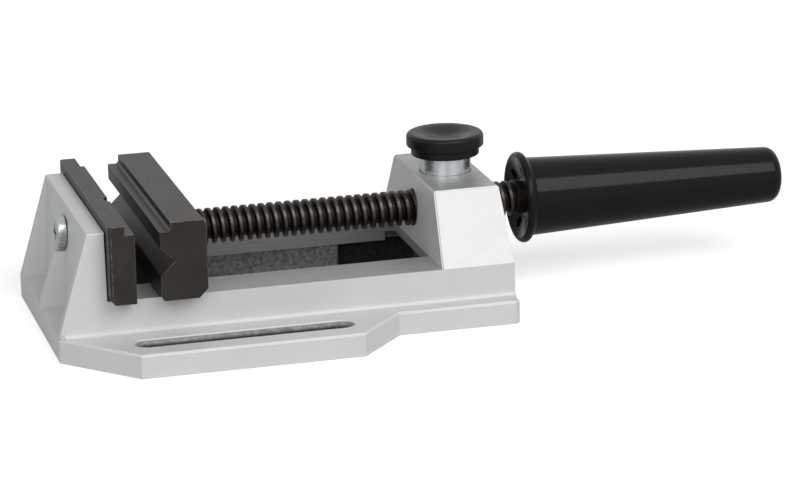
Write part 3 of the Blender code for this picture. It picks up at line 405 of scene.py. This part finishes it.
def casting_look(normal, middle, corners):
    """Which of the casting's looks a face has, by where it lies."""
    top = max(point.z for point in corners)
    widest = max(abs(point.y) for point in corners)
    narrowest = min(abs(point.y) for point in corners)
    front = min(point.x for point in corners)
    back = max(point.x for point in corners)
    from_button = math.hypot(middle.x - button_x, middle.y)
    from_spindle = math.hypot(middle.y, middle.z - handle_axis_z)
    rail_top = normal.z > FACING and abs(middle.z - RAIL_HEIGHT) < NEAR and widest < HALF_BODY + NEAR
    block_top = normal.z > FACING and middle.z > BLOCK_TOP and front > seat_x
    lip = widest - narrowest < NEAR and abs(widest - HALF_CHANNEL) < NEAR and top > ROOM_TOP + NEAR
    jaw_seat = normal.x > FACING and back - front < NEAR and abs(back - seat_x) < NEAR
    spot_face = normal.x < -FACING and abs(front - seat_x + SPOT_FACE_DEPTH) < NEAR
    underside = normal.z < -FACING and top < NEAR
    bored_down = from_button < BORED_DOWN and abs(normal.z) < SIDEWAYS
    bored_along = from_spindle < BORED_ALONG and abs(normal.x) < SIDEWAYS and front > seat_x
    if rail_top or block_top or lip or jaw_seat or spot_face or underside or bored_down or bored_along:
        return MILLED
    if narrowest > SLOT_INNER and widest < SLOT_OUTER and abs(normal.z) < SIDEWAYS:
        return SLOT_WALL
    within = widest < HALF_ROOM + NEAR and front > seat_x - NEAR and back < room_back_x + NEAR
    # The inside room, apart from its rough walls, takes the near-black painted shade.
    if within and top < ROOM_TOP + NEAR:
        rough_wall = widest < ROUGH_WALL + NEAR and narrowest > HALF_CHANNEL - NEAR
        return AS_CAST if rough_wall else SHADED_INSIDE
    return PAINTED


casting = merged_copy("casting", "base_casting")
round_edges(casting, CAST_SHARP, CAST_ROUNDING, CAST_STEPS, casting_weight)
for look in (silver_paint, milled_alloy, raw_casting, shade_black, slot_casting):
    casting.data.materials.append(look)
for face in casting.data.polygons:
    corners = [casting.data.vertices[i].co for i in face.vertices]
    face.material_index = casting_look(face.normal, face.center, corners)
smooth(casting, CAST_SMOOTH)
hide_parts("base_casting")
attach(casting, "base")


# The jaws are blackened and oiled steel, milled to shape. Their handled edges have worn down to bright metal.
# The fixed jaw stands on the rails and is pulled against the end wall by one screw.
JAW_SHARP = math.radians(30.0)
JAW_SMOOTH = math.radians(25.0)
JAW_ROUNDING = 0.22 * MM
JAW_STEPS = 2
JAW_SHORTEST = 0.9 * MM
JAW_HOLES = 12.0 * MM
JAW_DARK = (0.032, 0.028, 0.024)
JAW_LIGHT = (0.048, 0.043, 0.037)
WORN_DARK = (0.05, 0.045, 0.04)
WORN_LIGHT = (0.19, 0.18, 0.168)
WORN_SLOT = 1
JAWS = (("fixed_jaw", "fixed_jaw_plate", "base"), ("moving_jaw", "moving_jaw_block", "jaw"))

black_steel, tree, shader = principled("blackened_steel", Metallic=0.8, Specular_IOR_Level=0.5)
grinding = speckle(tree, per_metre=4000.0, stretch=(1.0, 0.05, 1.0))
feed(
    shader,
    Base_Color=mottled(tree, speckle(tree, per_metre=60.0, detail=3.0), JAW_DARK, JAW_LIGHT),
    Roughness=between(tree, speckle(tree, per_metre=500.0, detail=3.0), low=0.42, high=0.47),
    Normal=relief(tree, grinding, depth=0.0006 * MM),
)

worn_steel, tree, shader = principled("worn_steel_edge", Metallic=0.8, Roughness=0.38)
rubbing = speckle(tree, per_metre=350.0, detail=4.0)
feed(shader, Base_Color=mottled(tree, rubbing, WORN_DARK, WORN_LIGHT, from_low=0.42, from_high=0.66))


def outer_weight(shortest, inner=0.0):
    """Weights that round the outer edges and leave short ones alone, and those by the holes in the middle."""
    def weight(first, second):
        outside = max(abs(first.y), abs(second.y)) >= inner
        return 1.0 if outside and (first - second).length > shortest else 0.0
    return weight


for name, node, body in JAWS:
    jaw = merged_copy(name, node)
    jaw.data.materials.append(black_steel)
    jaw.data.materials.append(worn_steel)
    round_edges(jaw, JAW_SHARP, JAW_ROUNDING, JAW_STEPS, outer_weight(JAW_SHORTEST, JAW_HOLES), WORN_SLOT)
    smooth(jaw, JAW_SMOOTH)
    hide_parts(node)
    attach(jaw, body)


# The fixed jaw's screw is a zinc-plated pan head with a cross recess. It goes through the end wall, where its
# head sits in a spot face, and into the jaw.
SCREW_CROWN = 1.3 * MM
SCREW_SHANK = 4.0 * MM
SCREW_HEAD = 4.4 * MM
SCREW_CHAMFER = 0.4 * MM
RECESS_ARM = 7.0 * MM
RECESS_WIDTH = 1.7 * MM
RECESS_DEPTH = 2.4 * MM
ROUND_STEPS = 96
ZINC_TONES = {
    "bright_zinc": {"dark": (0.38, 0.415, 0.42), "light": (0.48, 0.515, 0.52)},
    "dull_zinc": {"dark": (0.52, 0.56, 0.575), "light": (0.60, 0.64, 0.655)},
}

zinc_looks = {}
for name, tones in ZINC_TONES.items():
    zinc_looks[name], tree, shader = principled(name, Metallic=0.9)
    bloom = speckle(tree, per_metre=220.0, detail=3.0)
    feed(
        shader,
        Base_Color=mottled(tree, bloom, tones["dark"], tones["light"]),
        Roughness=between(tree, speckle(tree, per_metre=900.0), low=0.22, high=0.34),
        Normal=relief(tree, speckle(tree, per_metre=2200.0), depth=0.002 * MM),
    )


def draw_line(name, points):
    """A chain of edges from point to point, drawn by extruding one vertex. It is left in edit mode."""
    bpy.ops.object.select_all(action="DESELECT")
    bpy.ops.mesh.primitive_plane_add(size=MM)
    piece = bpy.context.active_object
    piece.name = name
    piece.data.name = name
    bpy.ops.object.mode_set(mode="EDIT")
    bpy.ops.mesh.select_all(action="SELECT")
    bpy.ops.mesh.merge(type="CENTER")
    bpy.ops.transform.translate(value=points[0])
    for start, end in zip(points, points[1:]):
        bpy.ops.mesh.extrude_region_move(TRANSFORM_OT_translate={"value": end - start})
    return piece


def turn(name, profile, centre, axis, steps=ROUND_STEPS):
    """A solid turned from its half profile, given as points of (place along the axis, radius)."""
    along = Vector((1, 0, 0)) if axis == "X" else Vector((0, 0, 1))
    points = [centre + along * place + Vector((0, -radius, 0)) for place, radius in profile]
    piece = draw_line(name, points)
    bpy.ops.mesh.select_all(action="SELECT")
    bpy.ops.mesh.spin(steps=steps, angle=math.tau, center=centre, axis=along)
    bpy.ops.mesh.select_all(action="SELECT")
    bpy.ops.mesh.remove_doubles(threshold=WELD)
    bpy.ops.mesh.normals_make_consistent(inside=False)
    bpy.ops.object.mode_set(mode="OBJECT")
    return piece


def corner(place, radius, size, start, end, steps=5):
    """Profile points round a corner. Angles are in degrees, from the axis direction towards outside."""
    points = []
    for i in range(steps + 1):
        angle = math.radians(start + (end - start) * i / steps)
        points.append((place + size * math.cos(angle), radius + size * math.sin(angle)))
    return points


def combine(piece, other, operation="DIFFERENCE"):
    """Cuts another solid from a piece, or joins it on. The other one is then removed."""
    boolean = piece.modifiers.new("combined", "BOOLEAN")
    boolean.operation = operation
    boolean.object = other
    boolean.solver = "EXACT"
    bpy.context.view_layer.objects.active = piece
    bpy.ops.object.modifier_apply(modifier=boolean.name)
    bpy.data.objects.remove(other)


screw_centre = Vector((0.0, 0.0, screw_axis_z))
head_radius = (screw_high.z - screw_low.z) / 2
head_top = screw_low.x
head_seat = head_top + SCREW_HEAD
screw_profile = [(head_top, 0.0)]
screw_profile += corner(head_top + SCREW_CROWN, head_radius - SCREW_CROWN, SCREW_CROWN, 180.0, 90.0)
screw_profile += [(head_seat - SCREW_CHAMFER, head_radius), (head_seat, head_radius - SCREW_CHAMFER)]
screw_profile += [(head_seat, SCREW_SHANK), (screw_high.x, SCREW_SHANK), (screw_high.x, 0.0)]
screw = turn("jaw_screw", screw_profile, screw_centre, "X")
for across, tall in ((RECESS_WIDTH, RECESS_ARM), (RECESS_ARM, RECESS_WIDTH)):
    bpy.ops.object.select_all(action="DESELECT")
    bpy.ops.mesh.primitive_cube_add(size=1.0, location=(head_top, 0.0, screw_centre.z))
    blade = bpy.context.active_object
    blade.scale = (2 * RECESS_DEPTH, across, tall)
    bpy.ops.object.transform_apply(location=True, rotation=False, scale=True)
    combine(screw, blade)
screw.data.materials.append(zinc_looks["bright_zinc"])
smooth(screw)
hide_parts("fixed_jaw_screw")
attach(screw, "base")


# The slide fills the milled channel under the moving jaw, and the keeper below it reaches under both raw
# walls. Both are plain milled steel, held to the jaw by two low-head socket screws from below.
GUIDE_ROUNDING = 0.3 * MM
GUIDE_SHORTEST = 3.0 * MM
STEEL_DARK = (0.26, 0.26, 0.265)
STEEL_LIGHT = (0.42, 0.42, 0.43)
OILED_DARK = (0.035, 0.032, 0.03)
OILED_LIGHT = (0.07, 0.062, 0.055)

milled_steel, tree, shader = principled("milled_steel", Metallic=0.95)
cutter_marks = speckle(tree, per_metre=1300.0, detail=3.0, stretch=(1.0, 0.05, 1.0))
feed(
    shader,
    Base_Color=mottled(tree, cutter_marks, STEEL_DARK, STEEL_LIGHT),
    Roughness=between(tree, speckle(tree, per_metre=600.0), low=0.3, high=0.48),
    Normal=relief(tree, cutter_marks, depth=0.015 * MM),
)

for name, node in (("guide_slide", "jaw_slide"), ("keeper", "keeper_plate")):
    guide = merged_copy(name, node)
    guide.data.materials.append(milled_steel)
    round_edges(guide, CAST_SHARP, GUIDE_ROUNDING, JAW_STEPS, outer_weight(GUIDE_SHORTEST))
    smooth(guide)
    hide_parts(node)
    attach(guide, "jaw")

oiled_steel, tree, shader = principled("oiled_screw_steel", Metallic=0.7, Roughness=0.34)
feed(
    shader,
    Base_Color=mottled(tree, speckle(tree, per_metre=400.0, detail=3.0), OILED_DARK, OILED_LIGHT),
    Normal=relief(tree, speckle(tree, per_metre=1800.0), depth=0.01 * MM),
)

for side in ("near", "far"):
    node = "keeper_screw_" + side
    screw = merged_copy("guide_screw_" + side, node)
    screw.data.materials.append(oiled_steel)
    smooth(screw)
    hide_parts(node)
    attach(screw, "jaw")


# Two ground steel pins stand upright in the moving jaw, one on each side of the spindle's journal. They
# reach into the journal's groove, so the spindle turns but can't pull out.
for side in ("near", "far"):
    node = "spindle_pin_" + side
    pin = merged_copy("journal_pin_" + side, node)
    pin.data.materials.append(milled_steel)
    smooth(pin)
    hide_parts(node)
    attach(pin, "jaw")


# The spindle has a cut trapezoidal thread, 16 x 4 mm, right-hand. It is blackened, with oil and dust in the
# roots and bright, rubbed crests. Its journal turns in the jaw, and its plain shank goes into the handle.
THREAD_PITCH = 4.0 * MM
THREAD_RADIUS = 8.0 * MM
THREAD_DEPTH = 2.25 * MM
THREAD_CREST = 1.464 * MM
THREAD_EDGE = 0.16 * MM
FLANK = math.tan(math.radians(15.0))
THREAD_STEPS = 48
THREAD_SPARE = 3
JOURNAL_LENGTH = 10.6 * MM
JOURNAL_RADIUS = 5.0 * MM
JOURNAL_LAP = 2.0 * MM
GROOVE_RADIUS = 3.6 * MM
GROOVE_WIDTH = 3.4 * MM
GROOVE_BACK = 4.0 * MM
SHANK_RADIUS = 7.2 * MM
SHANK_LENGTH = 4.4 * MM
SHANK_LAP = 0.3 * MM
TAIL_RADIUS = 5.0 * MM
TAIL_LENGTH = 34.0 * MM
EDGE_BREAK = 0.6 * MM
PIN_HOLE = 2.3 * MM
HOLE_STEPS = 32
DUST_SHARE = 0.25
ACROSS_AXIS = (0.0, 1.0, 1.0)
THREAD_TONES = (
    (0.0, (0.012, 0.008, 0.006)),
    (0.35, (0.025, 0.018, 0.013)),
    (0.8, (0.036, 0.027, 0.021)),
    (1.0, (0.066, 0.059, 0.052)),
)

spindle_low, spindle_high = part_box("spindle")
spindle_z = (spindle_low.z + spindle_high.z) / 2
axis_point = Vector((0.0, 0.0, spindle_z))
thread_start = spindle_low.x + JOURNAL_LENGTH
tail_end = spindle_high.x
shank_end = tail_end - TAIL_LENGTH
thread_end = shank_end - SHANK_LENGTH

root_radius = THREAD_RADIUS - THREAD_DEPTH
half_crest = THREAD_CREST / 2
half_root = half_crest + THREAD_DEPTH * FLANK
thread_form = [
    (-half_root, root_radius),
    (-half_crest - THREAD_EDGE * FLANK, THREAD_RADIUS - THREAD_EDGE),
    (-half_crest + THREAD_EDGE, THREAD_RADIUS),
    (half_crest - THREAD_EDGE, THREAD_RADIUS),
    (half_crest + THREAD_EDGE * FLANK, THREAD_RADIUS - THREAD_EDGE),
    (half_root, root_radius),
    (THREAD_PITCH - half_root, root_radius),
]
first_crest = thread_start - THREAD_PITCH
thread_points = [Vector((first_crest + place, radius, 0.0)) for place, radius in thread_form]
spindle = draw_line("threaded_spindle", thread_points)
bpy.ops.object.mode_set(mode="OBJECT")
helix = spindle.modifiers.new("helix", "SCREW")
helix.axis = "X"
helix.angle = math.tau
helix.screw_offset = THREAD_PITCH
helix.iterations = math.ceil((thread_end - thread_start) / THREAD_PITCH) + THREAD_SPARE
helix.steps = THREAD_STEPS
helix.render_steps = THREAD_STEPS
bpy.ops.object.modifier_apply(modifier=helix.name)
spindle.location = axis_point
bpy.ops.object.transform_apply(location=True, rotation=False, scale=False)
bpy.ops.object.mode_set(mode="EDIT")
bpy.ops.mesh.select_all(action="SELECT")
bpy.ops.mesh.remove_doubles(threshold=WELD)
for place, normal in ((thread_start, (-1, 0, 0)), (thread_end, (1, 0, 0))):
    bpy.ops.mesh.select_all(action="SELECT")
    bpy.ops.mesh.bisect(plane_co=(place, 0.0, spindle_z), plane_no=normal, use_fill=True, clear_outer=True)
bpy.ops.mesh.select_all(action="SELECT")
bpy.ops.mesh.normals_make_consistent(inside=False)
bpy.ops.object.mode_set(mode="OBJECT")

journal_tip = spindle_low.x
groove_end = thread_start - GROOVE_BACK
groove_start = groove_end - GROOVE_WIDTH
journal_profile = [(journal_tip, 0.0), (journal_tip, JOURNAL_RADIUS - EDGE_BREAK)]
journal_profile += [(journal_tip + EDGE_BREAK, JOURNAL_RADIUS), (groove_start, JOURNAL_RADIUS)]
journal_profile += [(groove_start, GROOVE_RADIUS), (groove_end, GROOVE_RADIUS), (groove_end, JOURNAL_RADIUS)]
journal_profile += [(thread_start + JOURNAL_LAP, JOURNAL_RADIUS), (thread_start + JOURNAL_LAP, 0.0)]
journal = turn("journal", journal_profile, axis_point, "X", THREAD_STEPS)
combine(spindle, journal, "UNION")
shank_start = thread_end - SHANK_LAP
shank_profile = [(shank_start, 0.0), (shank_start, SHANK_RADIUS - EDGE_BREAK)]
shank_profile += [(shank_start + EDGE_BREAK, SHANK_RADIUS)]
shank_profile += [(shank_end, SHANK_RADIUS), (shank_end, TAIL_RADIUS), (tail_end - EDGE_BREAK, TAIL_RADIUS)]
shank_profile += [(tail_end, TAIL_RADIUS - EDGE_BREAK), (tail_end, 0.0)]
shank = turn("shank", shank_profile, axis_point, "X", THREAD_STEPS)
combine(spindle, shank, "UNION")

pin_low, pin_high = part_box("handle_pin")
bpy.ops.object.select_all(action="DESELECT")
bpy.ops.mesh.primitive_cylinder_add(
    vertices=HOLE_STEPS,
    radius=PIN_HOLE,
    depth=pin_high.z - pin_low.z,
    location=(pin_low + pin_high) / 2,
)
combine(spindle, bpy.context.active_object)

thread_steel, tree, shader = principled("oiled_thread", Metallic=0.8)
place = tree.nodes.new("ShaderNodeTexCoord").outputs["Object"]
from_axis = add_node(tree, "VectorMath", {0: place, 1: -axis_point}, operation="ADD")
across = add_node(tree, "VectorMath", {0: from_axis.outputs[0], 1: ACROSS_AXIS}, operation="MULTIPLY")
radius = add_node(tree, "VectorMath", {0: across.outputs[0]}, operation="LENGTH").outputs["Value"]
height = between(tree, radius, from_low=root_radius, from_high=THREAD_RADIUS)
dust = between(tree, speckle(tree, per_metre=1500.0, detail=4.0), low=-DUST_SHARE, high=DUST_SHARE)
crest_share = add_node(tree, "Math", {0: height, 1: dust}, operation="ADD").outputs[0]
feed(
    shader,
    Base_Color=colour_ramp(tree, crest_share, THREAD_TONES),
    Roughness=between(tree, crest_share, low=0.5, high=0.36, from_low=0.2, from_high=0.9),
    Normal=relief(tree, speckle(tree, per_metre=1600.0, detail=4.0), depth=0.05 * MM),
)
spindle.data.materials.append(thread_steel)
smooth(spindle)
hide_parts("spindle")
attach(spindle, "spindle")


# The grip is a long tapered moulding in polished black plastic, with a dished flange at the spindle. Three
# blind holes in the flange lighten its thick root, and a metal insert takes the spindle's tail.
FLANGE_THICK = 4.3 * MM
FLANGE_DISH = 3.4 * MM
FLANGE_LIP = 2.2 * MM
FLANGE_SLOPE = 8.8 * MM
RIM_ANGLE = 15.0
LIP_FOOT = 0.3 * MM
LIP_FOOT_STEP = 0.5 * MM
LIP_BACK_STEP = 0.4 * MM
GRIP_RADIUS = 17.6 * MM
GRIP_FILLET = 1.2 * MM
GRIP_FILLET_END = 272.0
GRIP_END_RADIUS = 12.7 * MM
GRIP_END_ROUND = 5.0 * MM
GRIP_END_START = 87.0
INSERT_ROOM = 9.3 * MM
INSERT_DEPTH = 36.0 * MM
HOLE_COUNT = 3
HOLE_RADIUS = 2.4 * MM
HOLE_CIRCLE = 12.6 * MM
HOLE_DEPTH = 6.0 * MM
HOLE_START = math.radians(43.0)
FINE_STEPS = 128
GLOSS_BLACK = (0.008, 0.008, 0.0082, 1.0)

grip_end = grip_high.x
flange_radius = (grip_high.z - grip_low.z) / 2
flange_face = grip_low.x
flange_back = flange_face + FLANGE_THICK
dish_floor = flange_face + FLANGE_DISH
lip_radius = flange_radius - FLANGE_LIP
half_thick = FLANGE_THICK / 2
rim_place = flange_face + half_thick
rim_radius = flange_radius - half_thick
fillet_place = flange_back + GRIP_FILLET
fillet_radius = GRIP_RADIUS + GRIP_FILLET
end_place = grip_end - GRIP_END_ROUND
end_radius = GRIP_END_RADIUS - GRIP_END_ROUND
grip_profile = [(dish_floor + INSERT_DEPTH, 0.0), (dish_floor + INSERT_DEPTH, INSERT_ROOM)]
grip_profile += [(dish_floor, INSERT_ROOM), (dish_floor, lip_radius - FLANGE_SLOPE)]
grip_profile += [(flange_face + LIP_FOOT, lip_radius - LIP_FOOT_STEP)]
grip_profile += corner(rim_place, rim_radius, half_thick, 180.0 - RIM_ANGLE, RIM_ANGLE, steps=10)
grip_profile += [(flange_back, lip_radius - LIP_BACK_STEP)]
grip_profile += corner(fillet_place, fillet_radius, GRIP_FILLET, 180.0, GRIP_FILLET_END)
grip_profile += corner(end_place, end_radius, GRIP_END_ROUND, GRIP_END_START, 0.0, steps=12)
grip_profile += [(grip_end, 0.0)]
grip = turn("grip", grip_profile, axis_point, "X", FINE_STEPS)
for i in range(HOLE_COUNT):
    angle = HOLE_START + math.tau * i / HOLE_COUNT
    bpy.ops.object.select_all(action="DESELECT")
    bpy.ops.mesh.primitive_cylinder_add(
        vertices=HOLE_STEPS,
        radius=HOLE_RADIUS,
        depth=2 * HOLE_DEPTH,
        location=(dish_floor, HOLE_CIRCLE * math.cos(angle), spindle_z + HOLE_CIRCLE * math.sin(angle)),
    )
    drill = bpy.context.active_object
    drill.rotation_euler = (0.0, math.radians(90.0), 0.0)
    bpy.ops.object.transform_apply(location=True, rotation=True, scale=False)
    combine(grip, drill)

gloss_black, tree, shader = principled("gloss_black_plastic", Base_Color=GLOSS_BLACK, Specular_IOR_Level=0.12)
feed(
    shader,
    Roughness=between(tree, speckle(tree, per_metre=60.0), low=0.12, high=0.17),
    Normal=relief(tree, speckle(tree, per_metre=160.0, detail=1.0), depth=0.006 * MM),
)
grip.data.materials.append(gloss_black)
smooth(grip)
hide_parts("handle_grip")
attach(grip, "spindle")


# The grip's insert is turned steel gone dark, and the spindle's tail goes into it. A plain steel pin through
# both makes the handle turn the spindle.
INSERT_DARK = (0.10, 0.10, 0.102)
INSERT_LIGHT = (0.17, 0.17, 0.172)

dark_steel, tree, shader = principled("dark_turned_steel", Metallic=0.9, Roughness=0.45)
stain = speckle(tree, per_metre=500.0, detail=3.0)
feed(shader, Base_Color=mottled(tree, stain, INSERT_DARK, INSERT_LIGHT))

grip_cores = (("grip_insert", "handle_insert", dark_steel), ("grip_pin", "handle_pin", milled_steel))
for name, node, look in grip_cores:
    piece = merged_copy(name, node)
    piece.data.materials.append(look)
    smooth(piece)
    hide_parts(node)
    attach(piece, "spindle")


# The plunger is a zinc-plated steel rod with a window for the spindle. The window's lower part is threaded as
# a half nut, which the spring holds up in the spindle's thread.
plunger = merged_copy("plunger", "button_plunger")
plunger.data.materials.append(zinc_looks["dull_zinc"])
smooth(plunger)
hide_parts("button_plunger")
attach(plunger, "button")


# The cap is moulded in satin black plastic: a stepped drum with a dished top for the thumb. It is screwed to
# the plunger by a headless stud.
CAP_STEP_RADIUS = 15.2 * MM
CAP_STEP_HEIGHT = 4.0 * MM
CAP_STEP_FILLET = 0.5 * MM
CAP_RIM = 3.6 * MM
CAP_ROUND = 1.8 * MM
CAP_DISH = 2.6 * MM
CAP_SEAT = 11.6 * MM
CAP_SEAT_DEPTH = 2.0 * MM
STUD_ROOM = 4.3 * MM
STUD_DEPTH = 5.4 * MM
DISH_STEPS = 12
DISH_CURVE = 1.5
SATIN_BLACK = (0.008, 0.008, 0.008, 1.0)

cap_low, cap_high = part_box("button_cap")
cap_radius = (cap_high.y - cap_low.y) / 2
cap_centre = Vector((button_x, 0.0, 0.0))
step_top = cap_low.z + CAP_STEP_HEIGHT
dish_radius = cap_radius - CAP_RIM
cap_profile = [(cap_low.z + STUD_DEPTH, 0.0), (cap_low.z + STUD_DEPTH, STUD_ROOM)]
cap_profile += [(cap_low.z + CAP_SEAT_DEPTH, STUD_ROOM), (cap_low.z + CAP_SEAT_DEPTH, CAP_SEAT)]
cap_profile += [(cap_low.z, CAP_SEAT)]
cap_profile += corner(cap_low.z + EDGE_BREAK, CAP_STEP_RADIUS - EDGE_BREAK, EDGE_BREAK, 180.0, 90.0)
cap_profile += [(step_top - CAP_STEP_FILLET, CAP_STEP_RADIUS), (step_top, CAP_STEP_RADIUS + CAP_STEP_FILLET)]
cap_profile += corner(step_top + EDGE_BREAK, cap_radius - EDGE_BREAK, EDGE_BREAK, 180.0, 90.0)
cap_profile += corner(cap_high.z - CAP_ROUND, cap_radius - CAP_ROUND, CAP_ROUND, 90.0, 0.0, steps=8)
for i in range(DISH_STEPS + 1):
    share = i / DISH_STEPS
    drop = CAP_DISH * math.sin(share * math.pi / 2) ** DISH_CURVE
    cap_profile.append((cap_high.z - drop, dish_radius * (1.0 - share)))
cap = turn("thumb_cap", cap_profile, cap_centre, "Z", FINE_STEPS)

satin_black, tree, shader = principled("satin_black_plastic", Base_Color=SATIN_BLACK, Specular_IOR_Level=0.16)
feed(
    shader,
    Roughness=between(tree, speckle(tree, per_metre=300.0), low=0.27, high=0.38),
    Normal=relief(tree, speckle(tree, per_metre=1500.0), depth=0.012 * MM),
)
cap.data.materials.append(satin_black)
smooth(cap)
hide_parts("button_cap")
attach(cap, "button")

stud = merged_copy("cap_screw", "cap_stud")
stud.data.materials.append(milled_steel)
smooth(stud)
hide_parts("cap_stud")
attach(stud, "button")


# The spring is coiled from round steel wire. It stands on a plug in the boss below the block, and an open
# ring in the boss's groove holds the plug up.
SPRING_TURNS = 5.5
WIRE_RADIUS = 0.8 * MM
WIRE_STEPS = 16
COIL_STEPS = 40

spring_low, spring_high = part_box("plunger_spring")
spring_length = spring_high.z - spring_low.z
coil_radius = (spring_high.y - spring_low.y) / 2 - WIRE_RADIUS
coil_rise = (spring_length - 2 * WIRE_RADIUS) / SPRING_TURNS
bpy.ops.object.select_all(action="DESELECT")
bpy.ops.mesh.primitive_circle_add(
    vertices=WIRE_STEPS,
    radius=WIRE_RADIUS,
    fill_type="NGON",
    location=(coil_radius, 0.0, spring_low.z + WIRE_RADIUS),
    rotation=(math.radians(90.0), 0.0, 0.0),
)
spring = bpy.context.active_object
spring.name = "nut_spring"
bpy.ops.object.transform_apply(location=True, rotation=True, scale=False)
bpy.ops.object.mode_set(mode="EDIT")
bpy.ops.mesh.select_all(action="SELECT")
rise = (0.0, 0.0, coil_rise / COIL_STEPS)
for i in range(round(SPRING_TURNS * COIL_STEPS)):
    bpy.ops.mesh.extrude_region_move(TRANSFORM_OT_translate={"value": rise})
    bpy.ops.transform.rotate(value=-math.tau / COIL_STEPS, orient_axis="Z", center_override=(0.0, 0.0, 0.0))
bpy.ops.mesh.select_all(action="SELECT")
bpy.ops.mesh.normals_make_consistent(inside=False)
bpy.ops.transform.translate(value=(button_x, 0.0, 0.0))
bpy.ops.object.mode_set(mode="OBJECT")
spring.data.materials.append(milled_steel)
smooth(spring)
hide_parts("plunger_spring")
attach(spring, "base")
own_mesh(spring)

for name, node in (("boss_plug", "spring_plug"), ("boss_ring", "retaining_ring")):
    piece = merged_copy(name, node)
    piece.data.materials.append(milled_steel)
    smooth(piece)
    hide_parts(node)
    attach(piece, "base")
